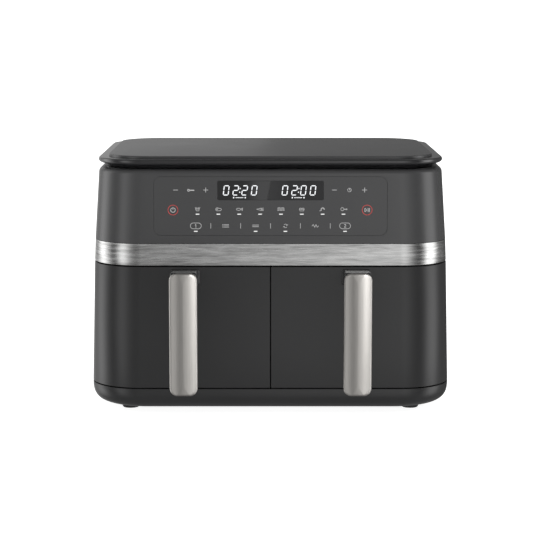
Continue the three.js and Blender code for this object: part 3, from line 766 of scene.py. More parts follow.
# Each symbol's shapes, in millimetres about its middle.
symbols = {
    "thermometer": stroke([(-1.5, -0.3), (3.6, -0.3)], 1.1) + ring(-2.3, -0.3, 1, 0.8),
    "clock": ring(0, 0, 2, thin) + stroke([(0, 1.3), (0, 0), (1.1, 0)], thin),
    "minus": stroke([(-2.4, 0), (2.4, 0)], 0.6),
    "plus": stroke([(-2.4, 0), (2.4, 0)], 0.6) + stroke([(0, -2.4), (0, 2.4)], 0.6),
    "power": ring(0, 0, 2.5, 0.7, 115, 425) + stroke([(0, 0.8), (0, 3)], 0.7),
    "play": stroke([(-2.6, -1.9), (0, 0), (-2.6, 1.9), (-2.6, -1.9)], 0.6)
    + stroke([(1.1, -1.9), (1.1, 1.9)], 0.7)
    + stroke([(2.6, -1.9), (2.6, 1.9)], 0.7),
    "fries": stroke([(-1.9, 0.2), (-1.5, -1.7), (1.5, -1.7), (1.9, 0.2), (-1.9, 0.2)], thin)
    + joined(stroke([(x, 0.4), (x * 1.5, 1.9)], 0.6) for x in (-1.7, -0.6, 0.6, 1.7)),
    "steak": ring(-1.2, 0, 1.7, thin, 40, 270)
    + stroke([(-1.2, -1.7), (2.4, -1.5), (3.4, -0.4), (2.6, 1), (0.1, 1.1)], thin)
    + ring(-1.3, 0.1, 0.5, thin),
    "fish": ring(-0.8, -2.1, 3.3, thin, 40, 140)
    + ring(-0.8, 2.1, 3.3, thin, 220, 320)
    + stroke([(1.7, 0), (3.6, 1.4), (3.6, -1.4), (1.7, 0)], thin),
    "carrot": stroke([(-3.8, 0), (1.2, 1.3), (1.2, -1.3), (-3.8, 0)], thin)
    + joined(stroke([(1.3, y / 2), (3.7, y)], thin) for y in (-1.5, 0, 1.5)),
    "rashers": joined(
        stroke([(-3.6, y), (-1.8, y + 0.7), (0, y), (1.8, y + 0.7), (3.6, y)], 0.6) for y in (-1.4, -0.1, 1.2)
    ),
    "cake": stroke([(-2.6, -0.1), (-2, -1.8), (2, -1.8), (2.6, -0.1), (-2.6, -0.1)], thin)
    + ring(-1.3, 0, 1.3, thin, 0, 180)
    + ring(1.3, 0, 1.3, thin, 0, 180),
    "shrimp": ring(0, -0.2, 1.7, 0.95, -10, 215) + stroke([(-1.4, -1.2), (-3.2, -1.7)], 0.7),
    "drumstick": ring(-1.3, 0.1, 1.7, thin) + stroke([(0.5, 0), (3.2, 0)], 0.7) + ring(3.4, 0, 0.6, thin),
    "list": joined(stroke([(-2.2, y), (3.4, y)], 0.5) for y in (-1.4, 0, 1.4))
    + joined(stroke([(-3.6, y), (-3, y)], 0.6) for y in (-1.4, 0, 1.4)),
    "equal": joined(stroke([(-3.4, y), (3.4, y)], 0.6) for y in (-0.9, 0.9)),
    "cycle": ring(0, 0, 1.9, thin, 15, 150)
    + ring(0, 0, 1.9, thin, 195, 330)
    + stroke([(0.9, 0.6), (1.9, 0.5), (2.4, 1.4)], thin)
    + stroke([(-0.9, -0.6), (-1.9, -0.5), (-2.4, -1.4)], thin),
    "shake": stroke([(-3.6, 0), (-2.2, 1.6), (-0.7, -1.6), (0.7, 1.6), (2.2, -1.6), (3.6, 0)], thin),
    "one": stroke([(-0.8, 0.9), (0.1, 1.6), (0.1, -1.6)], 0.6),
    "two": ring(0, 0.75, 0.85, 0.6, -30, 170, 10) + stroke([(0.75, 0.3), (-0.85, -1.5), (0.95, -1.5)], 0.6),
    "dash": stroke([(-1.65, 0), (1.65, 0)], 0.95),
    "bar": stroke([(0, -2.7), (0, 2.7)], 0.5),
    "capsule": stroke([(-2.8, 3.2), (2.8, 3.2)], 0.55)
    + stroke([(-2.8, -3.2), (2.8, -3.2)], 0.55)
    + ring(-2.8, 0, 3.2, 0.55, 90, 270)
    + ring(2.8, 0, 3.2, 0.55, -90, 90),
    "big ring": ring(0, 0, 5.4, 0.7, steps=48),
}

# Where the symbols sit on the panel, in millimetres from its middle.
setting_row = 17.7
program_row = -3.5
ring_row = -4.3
program_lamp_row = -8.9
lower_row = -21.8
lower_lamp_row = -27.8
program_pitch = 22.95
function_pitch = 32.9
power_x, play_x = -107.4, 106.4
drawer_keys = {"one": -82.3, "two": 82.1}
settings = [("minus", -104.4), ("thermometer", -87.9), ("plus", -71.3)]
settings += [("minus", 70.2), ("clock", 86.8), ("plus", 103.5)]
programs = ("fries", "steak", "fish", "carrot", "rashers", "cake", "shrimp", "drumstick")
functions = ("list", "equal", "cycle", "shake")

grey_marks = [(name, x, setting_row) for name, x in settings]
grey_marks += [("power", power_x, ring_row), ("play", play_x, ring_row)]
for name, x in drawer_keys.items():
    grey_marks += [("capsule", x, lower_row), (name, x, lower_row)]
grey_marks += [(name, (i - 3.5) * program_pitch, program_row) for i, name in enumerate(programs)]
grey_marks += [(name, (i - 1.5) * function_pitch, lower_row) for i, name in enumerate(functions)]
grey_marks += [("bar", (i - 2) * function_pitch, lower_row) for i in range(5)]
white_marks = [("dash", (i - 3.5) * program_pitch, program_lamp_row) for i in range(8)]
white_marks += [("dash", x, lower_lamp_row) for x in (drawer_keys["one"], -16.4, 16.4, drawer_keys["two"])]
red_marks = [("big ring", power_x, ring_row), ("big ring", play_x, ring_row)]


def printed(name, marks, color, glow=0.0):
    """One thin layer of ink in the shape of the given symbols."""
    # The glow is painted light on printed ink, making the marks brighter than their lighting does; the white
    # lamps glow as lamps.
    ink = Finish(name.replace("_", " "), Emission_Strength=glow)
    coverage = ink.mottle(900, 2)
    shade = [c * 0.8 for c in color]
    ink.vary(
        Base_Color=ink.blend(coverage, shade, color),
        Roughness=0.45 + coverage * 0.1,
        Emission_Color=ink.blend(coverage, shade, color),
    )
    shapes = []
    for symbol, x, y in marks:
        for outline in symbols[symbol]:
            shapes.append([((px + x) * mm, (py + y) * mm) for px, py in outline])
    make_piece(
        name,
        raised(shapes, 0.01 * mm, 0.035 * mm),
        "housing",
        ink.material,
        place=panel_face,
    )


# The grey symbols' glow is painted light.
printed("grey_symbols", grey_marks, (0.42, 0.42, 0.42), 0.1)
printed("white_lamps", white_marks, (0.75, 0.75, 0.75), 0.35)
# The red rings' glow is painted light.
printed("red_rings", red_marks, (0.42, 0.035, 0.03), 0.2)


# ---------------------------------------------------------------------------------------------
# The lid: a gloss black rim, undercut so that a dark recess shows above the shoulder, with a plug that
# closes the housing's mouth. A graphite plate is glued on top of it. The lid doesn't open.

gloss_black = moulded("gloss black", (0.01, 0.01, 0.011), (0.015, 0.015, 0.016), 0.2, 0.004 * mm, 0.6)
rim_low, rim_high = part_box("lid_rim")
plate_low, plate_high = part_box("top_panel")
rim_edge = half_width - rim_high.x
rim_bottom = 279.8 * mm
neck_inwards = 19 * mm
neck_z = shoulder_z + shoulder_radius + line_gap
plug_inwards = mouth_inwards + 1 * mm
lid_rows = []
for d, z in (
    (plug_inwards, rim_low.z),
    (plug_inwards, neck_z),
    (neck_inwards, neck_z),
    (rim_edge + 8 * mm, rim_bottom + 0.3 * mm),
    (rim_edge + 5.2 * mm, rim_bottom),
    (rim_edge + 3.6 * mm, rim_bottom + 0.15 * mm),
    (rim_edge + 2.2 * mm, rim_bottom + 0.7 * mm),
    (rim_edge + 1.1 * mm, rim_bottom + 1.5 * mm),
    (rim_edge + 0.35 * mm, rim_bottom + 2.4 * mm),
    (rim_edge, rim_bottom + 3.4 * mm),
    (rim_edge, rim_high.z - 2 * mm),
    (rim_edge + 0.2 * mm, rim_high.z - 1.2 * mm),
    (rim_edge + 0.6 * mm, rim_high.z - 0.5 * mm),
    (rim_edge + 1.2 * mm, rim_high.z - 0.1 * mm),
    (rim_edge + 2 * mm, rim_high.z),
):
    lid_rows.append(at_height(body_outline(d), z))
make_piece(
    "lid_rim_moulding",
    grid_mesh("lid rim", lid_rows),
    "housing",
    gloss_black,
    ["lid_rim"],
)
plate_edge = half_width - plate_high.x
top_rows = []
for d, z in (
    (plate_edge, plate_low.z),
    (plate_edge, plate_high.z - 1.2 * mm),
    (plate_edge + 0.25 * mm, plate_high.z - 0.5 * mm),
    (plate_edge + 0.7 * mm, plate_high.z - 0.12 * mm),
    (plate_edge + 1.4 * mm, plate_high.z),
):
    top_rows.append(at_height(body_outline(d), z))
make_piece(
    "lid_top_plate",
    grid_mesh("lid plate", top_rows),
    "housing",
    satin_graphite,
    ["top_panel"],
)


# ---------------------------------------------------------------------------------------------
# The drawer fronts: hollow charcoal mouldings that wrap round the body's corners, so that no seam
# shows from the front but the one between them. Screws from the inner cover hold each one.

drawer_low, drawer_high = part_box("right_drawer_front")
drawer_seam = drawer_low.x
wrap_y = drawer_high.y
frame_front_y = front + 19 * mm
frame_half_x = 190 * mm
frame_corner = 34 * mm
cover_front_grow = 3.5 * mm
lining_grow = cover_front_grow + 0.3 * mm
drawer_edge = 0.6 * mm


def wrap_path(inwards, side):
    """The outline from the middle seam along the front and round one corner."""
    radius = corner_radius - inwards / 2
    cx = half_width - inwards - radius
    cy = front + inwards + radius
    corner = arc(cx, cy, radius, -90, 0, 18)
    points = [(drawer_seam, front + inwards), *corner, (half_width - inwards, wrap_y)]
    return [(side * x, y) for x, y in points]


def lining_path(side):
    """The inside of a drawer front over the same stretch: the front frame's outline, grown outwards."""
    near = frame_front_y - lining_grow
    far = frame_half_x + lining_grow
    radius = frame_corner + lining_grow
    corner = arc(far - radius, near + radius, radius, -90, 0, 18)
    return [(side * x, y) for x, y in [(drawer_seam, near), *corner, (far, wrap_y)]]


for side, side_name in ((-1, "left"), (1, "right")):
    rows = [
        at_height(wrap_path(inset(z) + d, side), z)
        for z, d in (
            (drawer_low.z, drawer_edge),
            (drawer_low.z + drawer_edge * round_middle, drawer_edge * round_middle),
            (drawer_low.z + drawer_edge, 0),
            (drawer_high.z - drawer_edge, 0),
            (drawer_high.z - drawer_edge * round_middle, drawer_edge * round_middle),
            (drawer_high.z, drawer_edge),
        )
    ]
    rows += [at_height(lining_path(side), z) for z in (drawer_high.z, drawer_low.z)]
    make_piece(
        f"{side_name}_drawer_panel",
        grid_mesh("drawer panel", rows, rows_meet=True, columns_meet=False),
        f"{side_name}_drawer",
        satin_charcoal,
        [f"{side_name}_drawer_front"],
        bevel=0.35 * mm,
    )


# ---------------------------------------------------------------------------------------------
# The handles: a glossy black arm leaves each drawer just under the band, bends down and carries a
# satin nickel cover, a crowned bar that snaps over the arm and hangs clear of the drawer.

satin_nickel = brushed("satin nickel", (0.43, 0.415, 0.395), 0.42, (1500, 1500, 25), 0.6, 0.004 * mm)
grip_corner = 8 * mm
grip_crown = 4.4 * mm
grip_edge = 1.5 * mm
grip_edge_share = 0.13  # how much of the way in from the edge the edge radius takes
grip_slit = 0.5 * mm
arm_half = 14.5 * mm
arm_thickness = 5.9 * mm
arm_root_high, arm_root_low = 166 * mm, 148.2 * mm
arm_top = 168.2 * mm
arm_top_radius = 5.4 * mm
arm_foot = 37 * mm
arm_foot_radius = 2.4 * mm
arm_bend_radius = 14 * mm
arm_sunk = 0.35 * mm
flange_half = 16.2 * mm
flange_corner = 3 * mm

for side_name in ("left", "right"):
    low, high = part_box(f"{side_name}_handle_cover")
    centre_x = (low.x + high.x) / 2
    half = (high.x - low.x) / 2
    reach = low.y
    rear = high.y
    tall = (high.z - low.z) / 2
    middle_z = (low.z + high.z) / 2
    rows = []
    for d in (1 * mm, 0.3 * mm):
        outline = rounded_rectangle(half - d, tall - d, grip_corner, steps=12)
        rows.append([(centre_x + x, rear, middle_z + z) for x, z in outline])
    # The face crowns from side to side only. A small edge radius runs all round it.
    for share in (0, 0.012, 0.04, 0.08, grip_edge_share, 0.2, 0.32, 0.46, 0.62, 0.8, 1):
        d = share * (half - grip_slit)
        rolled = max(0, 1 - share / grip_edge_share)
        roll = grip_edge * (1 - math.sqrt(1 - rolled**2))
        outline = rounded_rectangle(half - d, tall - d, min(grip_corner - 0.25 * d, half - d), steps=12)
        rows.append(
            [(centre_x + x, reach + roll + grip_crown * (x / half) ** 2, middle_z + z) for x, z in outline]
        )
    cover = make_piece(
        f"{side_name}_grip_cover",
        grid_mesh("grip cover", rows),
        f"{side_name}_drawer",
        satin_nickel,
        [f"{side_name}_handle_cover"],
        sharp=60,
    )
    cover.visible_glossy = False

    # The arm's side view, from the top of its root forwards, down the grip and back under the bend.
    arm_front = rear + 0.3 * mm
    arm_back = arm_front + arm_thickness
    foot_centre = arm_foot + arm_foot_radius
    bend_centre = arm_root_low + 0.4 * mm - arm_bend_radius
    side_view = [(front + inset(arm_root_high) - arm_sunk, arm_root_high), (arm_front + 6 * mm, arm_top)]
    side_view += arc(arm_front + arm_top_radius, arm_top - arm_top_radius, arm_top_radius, 90, 180, 10)
    side_view += arc(arm_front + arm_foot_radius, foot_centre, arm_foot_radius, 180, 270, 6)
    side_view += arc(arm_back - arm_foot_radius, foot_centre, arm_foot_radius, 270, 360, 6)
    side_view += arc(arm_back + arm_bend_radius, bend_centre, arm_bend_radius, 180, 90, 12)
    side_view.append((front + inset(arm_root_low) - arm_sunk, arm_root_low))
    arm_rows = [[(centre_x + x, y, z) for y, z in side_view] for x in (-arm_half, arm_half)]
    arm = make_piece(
        f"{side_name}_handle_moulding",
        grid_mesh("handle arm", arm_rows),
        f"{side_name}_drawer",
        gloss_black,
        [f"{side_name}_handle_arm"],
        bevel=2.2 * mm,
    )
    arm.visible_glossy = False

    # A low flange round the root lies on the drawer's sloping face.
    flange = rounded_rectangle(flange_half, (arm_root_high - arm_root_low) / 2, flange_corner, steps=6)
    flange_rows = []
    for out, shrink in ((0.1, 0), (1.2, 0), (1.7, 0.2), (2, 0.7)):
        scale = 1 - shrink * mm / flange_half
        heights = [(arm_root_high + arm_root_low) / 2 + z * scale for x, z in flange]
        flange_rows.append(
            [(centre_x + x * scale, front + inset(h) - out * mm, h) for (x, z), h in zip(flange, heights)]
        )
    make_piece(
        f"{side_name}_handle_flange",
        grid_mesh("handle flange", flange_rows),
        f"{side_name}_drawer",
        gloss_black,
        sharp=50,
    )


# ---------------------------------------------------------------------------------------------
# The front frame and the drawers' inner covers: black mouldings behind the drawer fronts. The frame has
# the two bay mouths in it and carries the base, the walls and the band; screws hold all of them together.


def keep(node, finish, bevel=0.0):
    """Gives a CAD node its finish and, if asked, a small edge radius."""
    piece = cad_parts[node]
    piece.data.materials.clear()
    piece.data.materials.append(finish)
    if bevel:
        round_edges(piece, bevel, 2, 35)


dark_plastic = moulded("black textured plastic", (0.01, 0.01, 0.011), (0.017, 0.017, 0.018), 0.55, 0.05 * mm)
keep("front_frame", dark_plastic, 0.4 * mm)
for side_name in ("left", "right"):
    keep(f"{side_name}_drawer_inner_cover", dark_plastic, 0.3 * mm)


# ---------------------------------------------------------------------------------------------
# The bay liners: folded and spot-welded aluminised steel boxes with two skids on the floor. Each holds
# the heat round its drawer, and is dulled and a little browned by cooking near the heater.


def sheet_metal(name, dark, light, roughness, spangle=90, stain=0.0):
    """Rolled or coated sheet metal with a faint crystal pattern and, if asked, brown heat stain."""
    finish = Finish(name, Metallic=0.9)
    where = finish.stretched(1, 1, 1)
    flakes = finish.node("ShaderNodeTexVoronoi", {}, {"Vector": where, "Scale": spangle}, output=1)
    grey = finish.node("ShaderNodeSeparateColor", {}, {"Color": flakes})
    cloud = finish.mottle(11, 4)
    color = finish.blend(grey * 0.5 + cloud * 0.5, dark, light)
    if stain:
        color = finish.blend(cloud * stain, color, (0.16, 0.1, 0.05))
    finish.vary(
        Base_Color=color,
        Roughness=roughness - 0.06 + grey * 0.06 + cloud * 0.06,
        Normal=finish.bump(cloud, 0.05 * mm),
    )
    return finish.material


liner_steel = sheet_metal("aluminised steel", (0.34, 0.34, 0.33), (0.46, 0.455, 0.44), 0.38, 140, 0.4)
for side_name in ("left", "right"):
    keep(f"{side_name}_bay_liner", liner_steel)


# ---------------------------------------------------------------------------------------------
# The pots: deep-drawn steel tubs with a rim that rolls outwards, coated inside and out with a dark
# non-stick that has fine mineral specks. A welded plate on the front carries the drawer front's screws.

non_stick = Finish("non-stick coating", Coat_Weight=0.25, Coat_Roughness=0.3)
specks = non_stick.mottle(1500, 1)
speck_range = {"Value": specks, "From Min": 0.66, "From Max": 0.72, "To Max": 0.6}
speck_mask = non_stick.node("ShaderNodeMapRange", {}, speck_range)
haze = non_stick.mottle(25, 3)
non_stick.vary(
    Base_Color=non_stick.blend(speck_mask, (0.017, 0.017, 0.018), (0.16, 0.16, 0.165)),
    Roughness=0.34 + haze * 0.12,
    Normal=non_stick.bump(specks, 0.01 * mm),
)

pot_low, pot_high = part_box("right_pot")
pot_sheet = 0.9 * mm
pot_corner = 27 * mm
pot_bend = 10 * mm
pot_draft = 0.035
rim_turn = 1.4 * mm
rim_rise = 1.15 * mm
rim_flare = 1 * mm
rim_start = pot_high.z - 2.4 * mm
pot_half_x = (pot_high.x - pot_low.x) / 2 - rim_turn
pot_half_y = 133 * mm
pot_y = front + 154 * mm
mount_half_x, mount_half_z, mount_corner = 30 * mm, 20 * mm, 4 * mm
mount_z = 124 * mm


def pot_outline(centre_x, z, inwards):
    """The tub's outline at a height. It narrows a little towards the floor."""
    d = (pot_high.z - z) * pot_draft + inwards
    half_x, half_y = pot_half_x - d, pot_half_y - d
    return at_height(rounded_rectangle(half_x, half_y, pot_corner - d, centre_x, pot_y, 14), z)


def pot_wall(centre_x, inwards, steps=8):
    """Outlines from the floor and round the bend to the wall."""
    bend = pot_bend - inwards
    rows = []
    for i in range(steps + 1):
        a = math.pi / 2 * i / steps
        z = pot_low.z + inwards + bend * (1 - math.cos(a))
        rows.append(pot_outline(centre_x, z, inwards + bend * (1 - math.sin(a))))
    return rows


for side_name in ("left", "right"):
    low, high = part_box(f"{side_name}_pot")
    centre_x = (low.x + high.x) / 2
    rows = pot_wall(centre_x, 0)
    rows += [pot_outline(centre_x, rim_start, 0), pot_outline(centre_x, rim_start + 0.2 * mm, -rim_flare)]
    for degrees in range(0, 181, 30):
        a = math.radians(degrees)
        inwards = (pot_sheet - rim_turn) / 2 - (pot_sheet + rim_turn) / 2 * math.cos(a)
        rows.append(pot_outline(centre_x, pot_high.z - rim_rise * (1 - math.sin(a)), inwards))
    rows += pot_wall(centre_x, pot_sheet)[::-1]
    make_piece(
        f"{side_name}_pot_tub",
        grid_mesh("pot", rows),
        f"{side_name}_drawer",
        non_stick.material,
        [f"{side_name}_pot"],
        sharp=40,
    )
    mount_rows = []
    for y, shrink in ((front + 18.2 * mm, 0.6 * mm), (front + 18.8 * mm, 0), (front + 23 * mm, 0)):
        outline = rounded_rectangle(mount_half_x - shrink, mount_half_z - shrink, mount_corner, steps=5)
        mount_rows.append([(centre_x + x, y, mount_z + z) for x, z in outline])
    make_piece(
        f"{side_name}_pot_mount",
        grid_mesh("pot mount", mount_rows),
        f"{side_name}_drawer",
        non_stick.material,
        bevel=0.3 * mm,
    )


# ---------------------------------------------------------------------------------------------
# The crisper plates: slotted steel sheets with a turned-down edge and the same non-stick coating. Four
# silicone bumpers on the edge hold each plate above the pot's floor and stop it rattling.

plate_corner = 21 * mm
plate_sheet = 1.4 * mm
plate_edge_radius = 0.35 * mm
skirt_sheet = 1 * mm
skirt_gap = 0.02 * mm
plate_slot_pitch_x, plate_slot_pitch_y = 31 * mm, 33 * mm
plate_slot_half_x, plate_slot_half_y = 9 * mm, 3.2 * mm
bumper_steps = 12
bumper_ribs = 3
bumper_lip = 0.8 * mm
bumper_pinch = 0.6 * mm


def slot_outline(cx, cy, half_x, half_y, steps=6):
    """A slot with round ends, along x."""
    reach = half_x - half_y
    return arc(cx + reach, cy, half_y, -90, 90, steps) + arc(cx - reach, cy, half_y, 90, 270, steps)


def bumper_mesh(low, high, edge_name):
    """A soft pad over the plate's edge, with upright ribs on its outer face and tapered ends."""
    outer_x = low.x if edge_name == "left" else high.x
    thick = (high.x - low.x) * (1 if edge_name == "left" else -1)
    neck_x, inner_x = outer_x + thick * 0.6, outer_x + thick
    rows = []
    for i in range(bumper_steps + 1):
        v = i / bumper_steps
        swell = 0.5 - 0.5 * math.cos(v * math.tau * bumper_ribs)
        y = low.y + (high.y - low.y) * v
        pinch = bumper_pinch if i in (0, bumper_steps) else 0
        face_x = outer_x + thick * 0.35 * (1 - swell)
        foot, top = low.z + pinch, high.z - pinch
        rows.append(
            [
                (face_x, y, foot + bumper_lip),
                (face_x, y, top - bumper_lip),
                (neck_x, y, top),
                (inner_x, y, top),
                (inner_x, y, foot),
                (neck_x, y, foot),
            ]
        )
    return grid_mesh("bumper", rows)


for side_name in ("left", "right"):
    low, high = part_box(f"{side_name}_crisper_plate")
    cx, cy = (low.x + high.x) / 2, (low.y + high.y) / 2
    half_x, half_y = (high.x - low.x) / 2, (high.y - low.y) / 2
    outline = rounded_rectangle(half_x, half_y, plate_corner, steps=12)
    slots = [
        slot_outline(
            column * plate_slot_pitch_x, row * plate_slot_pitch_y, plate_slot_half_x, plate_slot_half_y
        )
        for row in range(-3, 4)
        for column in (-1.5, -0.5, 0.5, 1.5)
    ]
    make_piece(
        f"{side_name}_plate_sheet",
        plate("crisper plate", outline, slots, plate_sheet, plate_edge_radius),
        f"{side_name}_plate",
        non_stick.material,
        [f"{side_name}_crisper_plate"],
        sharp=15,
        place=Matrix.Translation((cx, cy, high.z)),
    )
    skirt = [
        at_height(rounded_rectangle(half_x - d, half_y - d, plate_corner - d, cx, cy, 12), z)
        for z, d in (
            (high.z - skirt_sheet, skirt_gap),
            (low.z + 0.4 * mm, skirt_gap),
            (low.z, 0.4 * mm),
            (low.z + 0.4 * mm, skirt_sheet),
            (high.z - skirt_sheet, skirt_sheet),
        )
    ]
    make_piece(
        f"{side_name}_plate_skirt",
        grid_mesh("plate skirt", skirt, rows_meet=True),
        f"{side_name}_plate",
        non_stick.material,
    )
    for end_name in ("front", "rear"):
        for edge_name in ("left", "right"):
            node = f"{side_name}_plate_bumper_{end_name}_{edge_name}"
            make_piece(
                f"{node}_pad",
                bumper_mesh(*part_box(node), edge_name),
                f"{side_name}_plate",
                rubber,
                [node],
            )


# ---------------------------------------------------------------------------------------------
# The rear vent: a black plastic grille let into the back of the control housing, where the cooling fans
# blow out. Clips behind it hold it in.

vent_slot_pitch_x, vent_slot_pitch_y = 50 * mm, 6.6 * mm
vent_slot_half_x, vent_slot_half_y = 21 * mm, 1.6 * mm
vent_outline = rounded_rectangle(vent_half_x, vent_half_y, vent_corner, steps=8)
vent_slots = [
    slot_outline(column * vent_slot_pitch_x, row * vent_slot_pitch_y, vent_slot_half_x, vent_slot_half_y)
    for row in range(-2, 3)
    for column in (-1.5, -0.5, 0.5, 1.5)
]
make_piece(
    "rear_vent_grille",
    plate("vent grille", vent_outline, vent_slots, 1.3 * mm, 0.25 * mm),
    "housing",
    dark_plastic,
    ["rear_vent"],
    sharp=15,
    place=vent_face,
)


# ---------------------------------------------------------------------------------------------
# The cord gland: a ribbed bush of tough black rubber, pushed into a hole low on the back wall. The mains
# cord would come out of it.

gland_low, gland_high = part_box("cord_gland")
gland_x = (gland_low.x + gland_high.x) / 2
gland_z = (gland_low.z + gland_high.z) / 2
gland_wall = back - inset(gland_z)
gland_bore = 4.4 * mm
gland_body = 7.5 * mm
gland_collar = 11 * mm
gland_groove = 0.7 * mm
gland_profile = [
    (gland_bore, gland_low.y),
    (gland_body, gland_low.y),
    (gland_body, gland_wall + 0.3 * mm),
    (gland_collar - 0.6 * mm, gland_wall + 0.3 * mm),
    (gland_collar, gland_wall + 0.9 * mm),
    (gland_collar, gland_wall + 1.9 * mm),
    (gland_collar - 0.8 * mm, gland_wall + 2.6 * mm),
]
rib_start, rib_end = gland_wall + 3.2 * mm, gland_high.y
for i in range(8):
    tapered = (8.2 - 0.14 * i) * mm
    y = rib_start + (rib_end - rib_start) * i / 7
    gland_profile.append((tapered - (gland_groove if i % 2 else 0), y))
gland_profile.append((gland_bore, rib_end))
gland_angles = [math.tau * i / 40 for i in range(40)]
gland_rows = [
    [(gland_x + r * math.cos(a), y, gland_z + r * math.sin(a)) for a in gland_angles]
    for r, y in gland_profile
]
make_piece(
    "cord_gland_bush",
    grid_mesh("cord gland", gland_rows, rows_meet=True),
    "housing",
    rubber,
    ["cord_gland"],
)


# ---------------------------------------------------------------------------------------------
# The heaters: steel-sheathed rods bent into a spiral under each bay's roof. Both ends go up through the
# roof, where they are clamped and wired.

heater_sheath = sheet_metal("heater sheath", (0.09, 0.08, 0.075), (0.2, 0.17, 0.15), 0.42, 300, 0.5)
heater_z = 170 * mm
fan_y = front + 158 * mm
heater_inner, heater_outer = 60 * mm, 73 * mm
tube_radius = 3.2 * mm
heater_turns = 1.5
heater_stations = 150
leg_share = 0.07
leg_height = 34 * mm


def heater_point(bay_x, t):
    """A point on the rod's middle line: up a leg, round the spiral and up the other leg."""
    share = min(max((t - leg_share) / (1 - 2 * leg_share), 0), 1)
    angle = -math.pi / 2 + heater_turns * math.tau * share
    radius = heater_inner + (heater_outer - heater_inner) * share
    rise = max(leg_share - t, t - 1 + leg_share, 0) / leg_share
    z = heater_z + leg_height * rise**1.6
    return Vector((bay_x + radius * math.cos(angle), fan_y + radius * math.sin(angle), z))


for side_name in ("left", "right"):
    low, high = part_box(f"{side_name}_bay_liner")
    bay_x = (low.x + high.x) / 2
    path = [heater_point(bay_x, i / heater_stations) for i in range(heater_stations + 1)]
    tube_angles = [math.tau * j / 14 for j in range(14)]
    rows = []
    for i, here in enumerate(path):
        ahead = (path[min(i + 1, heater_stations)] - path[max(i - 1, 0)]).normalized()
        outwards = Vector((here.x - bay_x, here.y - fan_y, 0)).normalized()
        upwards = outwards.cross(ahead).normalized()
        outwards = ahead.cross(upwards)
        around = [outwards * math.cos(a) + upwards * math.sin(a) for a in tube_angles]
        rows.append([here + tube_radius * direction for direction in around])
    make_piece(
        f"{side_name}_heater_rod",
        grid_mesh("heater", rows),
        "housing",
        heater_sheath,
        [f"{side_name}_heater"],
    )


# ---------------------------------------------------------------------------------------------
# The fans, shafts and motors: on one upright axis above each bay, a stamped aluminium fan moves the hot
# air, and a moulded fan above the roof cools the motor. A folded bracket carries the motor.

fan_aluminium = sheet_metal("stamped aluminium", (0.55, 0.55, 0.56), (0.68, 0.68, 0.69), 0.34, 60)
motor_steel = sheet_metal("zinc plated steel", (0.42, 0.42, 0.41), (0.56, 0.56, 0.54), 0.3, 110)
for side_name in ("left", "right"):
    keep(f"{side_name}_hot_air_fan", fan_aluminium, 0.25 * mm)
    keep(f"{side_name}_cooling_fan", dark_plastic, 0.25 * mm)
    keep(f"{side_name}_motor_shaft", motor_steel, 0.4 * mm)
    keep(f"{side_name}_motor", motor_steel, 1.5 * mm)
    keep(f"{side_name}_motor_bracket", motor_steel, 0.4 * mm)
    keep(f"{side_name}_temperature_sensor", motor_steel, 0.3 * mm)


# ---------------------------------------------------------------------------------------------
# The drawer switches and the boards: a sprung nylon plunger behind each bay tells the board that its
# drawer is in. Boards of green glass-fibre laminate carry the power parts and the display.

white_plastic = moulded("natural nylon", (0.62, 0.6, 0.54), (0.7, 0.68, 0.62), 0.45)
for side_name in ("left", "right"):
    keep(f"{side_name}_drawer_switch", dark_plastic, 0.4 * mm)
    keep(f"{side_name}_switch_plunger", white_plastic, 0.4 * mm)
laminate = Finish("board laminate", Roughness=0.35, Coat_Weight=0.4, Coat_Roughness=0.2)
weave = {
    "Vector": laminate.stretched(1, 1, 1),
    "Scale": 160.0,
    "Color1": (0.008, 0.075, 0.03, 1),
    "Color2": (0.012, 0.1, 0.042, 1),
    "Mortar": (0.02, 0.13, 0.06, 1),
    "Mortar Size": 0.03,
}
laminate.vary(Base_Color=laminate.node("ShaderNodeTexBrick", {"offset": 0.5}, weave))
keep("power_board", laminate.material, 0.3 * mm)
keep("control_board", laminate.material, 0.2 * mm)
keep("display_module", white_plastic, 0.4 * mm)


# ---------------------------------------------------------------------------------------------
# The stage: a pale floor under even soft light, and a light tent all round that only shows in
# reflections. The tent has soft lights at both sides of its wall, with darker cloth between them.

pale = Finish("pale floor", Roughness=0.9, Emission_Color=(1, 1, 1, 1), Emission_Strength=0.92)
pale.vary(Base_Color=pale.blend(pale.mottle(2), (0.5, 0.5, 0.5), (0.54, 0.54, 0.54)))
floor_mesh = bpy.data.meshes.new("floor")
floor_reach = 400
floor_mesh.from_pydata(at_height(rectangle(0, 0, floor_reach, floor_reach), 0), [], [(0, 1, 2, 3)])
floor_mesh.materials.append(pale.material)
floor = bpy.data.objects.new("floor", floor_mesh)
floor.visible_glossy = False
bpy.context.scene.collection.objects.link(floor)

world = bpy.data.worlds.new("studio")
bpy.context.scene.world = world
world.use_nodes = True
background = world.node_tree.nodes["Background"]
background.inputs["Color"].default_value = (1, 1, 1, 1)
background.inputs["Strength"].default_value = 1.12
world.cycles_visibility.glossy = False

tent_light = 2.4
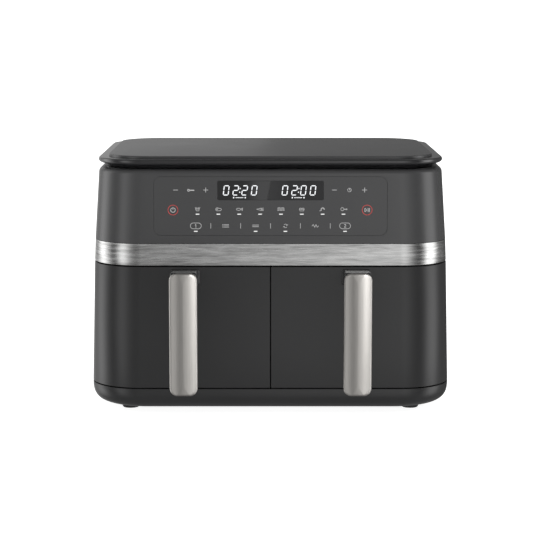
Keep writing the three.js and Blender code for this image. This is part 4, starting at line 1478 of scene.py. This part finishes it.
# Brightness of the tent's wall by direction in degrees: 0 is straight in front, 90 on the right.
tent_wall = [
    (-180, 0.36),
    (-158, 0.62),
    (-140, 0.45),
    (-130, 0.6),
    (-121, 1.3),
    (-112, 2.1),
    (-103, 2.0),
    (-94, 1.2),
    (-85, 0.4),
    (-76, 0.1),
    (-67, 0.1),
    (-60, 0.65),
    (-52, 1.55),
    (-44, 1.3),
    (-36, 0.7),
    (-28, 0.3),
    (-19, 0.18),
    (-7, 0.2),
    (-1.5, 0.45),
    (5, 0.98),
    (14, 1.17),
    (25, 0.82),
    (37, 0.32),
    (48, 0.06),
    (59, 0.1),
    (66, 0.7),
    (73, 2.3),
    (91, 2.3),
    (99, 1.2),
    (107, 0.25),
    (150, 0.1),
    (179, 0.22),
]
tent_radius = 12
tent_dim_from, tent_dim_to = 4.4, 8  # heights, above and below, between which the wall turns dim
tent = Finish("light tent", Base_Color=(0, 0, 0, 1), Roughness=1.0, Emission_Strength=tent_light)
quarter_turn = {"Vector": tent.here(), "Rotation": (0, 0, math.pi / 2)}
around = tent.node("ShaderNodeMapping", {"vector_type": "POINT"}, quarter_turn)
turn = tent.node("ShaderNodeTexGradient", {"gradient_type": "RADIAL"}, {"Vector": around}, output=1)
stops = [(angle / 360 + 0.5, (light / tent_light,) * 3) for angle, light in tent_wall]
wall_light = tent.node("ShaderNodeValToRGB", {"stops": stops}, {"Fac": turn})
height = tent.node("ShaderNodeSeparateXYZ", {}, {"Vector": tent.here()}, output=2)
dim_range = {"Value": abs(height), "From Min": tent_dim_from, "From Max": tent_dim_to}
dim = tent.node("ShaderNodeMapRange", {}, dim_range)
tent.vary(Emission_Color=tent.blend(dim, wall_light, (0.1, 0.1, 0.1)))
tent_mesh = bpy.data.meshes.new("light tent")
ball = bmesh.new()
bmesh.ops.create_icosphere(ball, subdivisions=4, radius=tent_radius)
ball.to_mesh(tent_mesh)
ball.free()
tent_mesh.materials.append(tent.material)
tent_ball = bpy.data.objects.new("light_tent", tent_mesh)
tent_ball.visible_camera = False
tent_ball.visible_diffuse = False
tent_ball.visible_shadow = False
tent_ball.visible_transmission = False
bpy.context.scene.collection.objects.link(tent_ball)

# A tall soft strip to the right lights the handles only. Light linking keeps it off the body.
grips = bpy.data.collections.new("grips")
for side_name in ("left", "right"):
    grips.objects.link(bpy.data.objects[f"{side_name}_grip_cover"])
    grips.objects.link(bpy.data.objects[f"{side_name}_handle_moulding"])
strip_data = bpy.data.lights.new("grip strip", "AREA")
strip_data.shape = "RECTANGLE"
strip_data.size = 0.5
strip_data.size_y = 1.2
strip_data.energy = 14.5
strip = bpy.data.objects.new("grip strip", strip_data)
strip.location = (0.9, -1.15, 0.5)
grips_middle = Vector((0, front, 0.1))
strip.rotation_euler = (grips_middle - strip.location).to_track_quat("-Z", "Y").to_euler()
bpy.context.scene.collection.objects.link(strip)
strip.light_linking.receiver_collection = grips

camera_distance = 1983 * mm
camera_height = 455.8 * mm
camera_side = -4.43 * mm
camera_tilt = 8.22  # degrees down
camera_data = bpy.data.cameras.new("camera")
camera_data.sensor_width = 36
camera_data.lens = 122.8
camera = bpy.data.objects.new("camera", camera_data)
camera.location = (camera_side, front - camera_distance, camera_height)
camera.rotation_euler = (math.radians(90 - camera_tilt), 0, 0)
bpy.context.scene.collection.objects.link(camera)
bpy.context.scene.camera = camera
bpy.context.scene.view_settings.view_transform = "Standard"
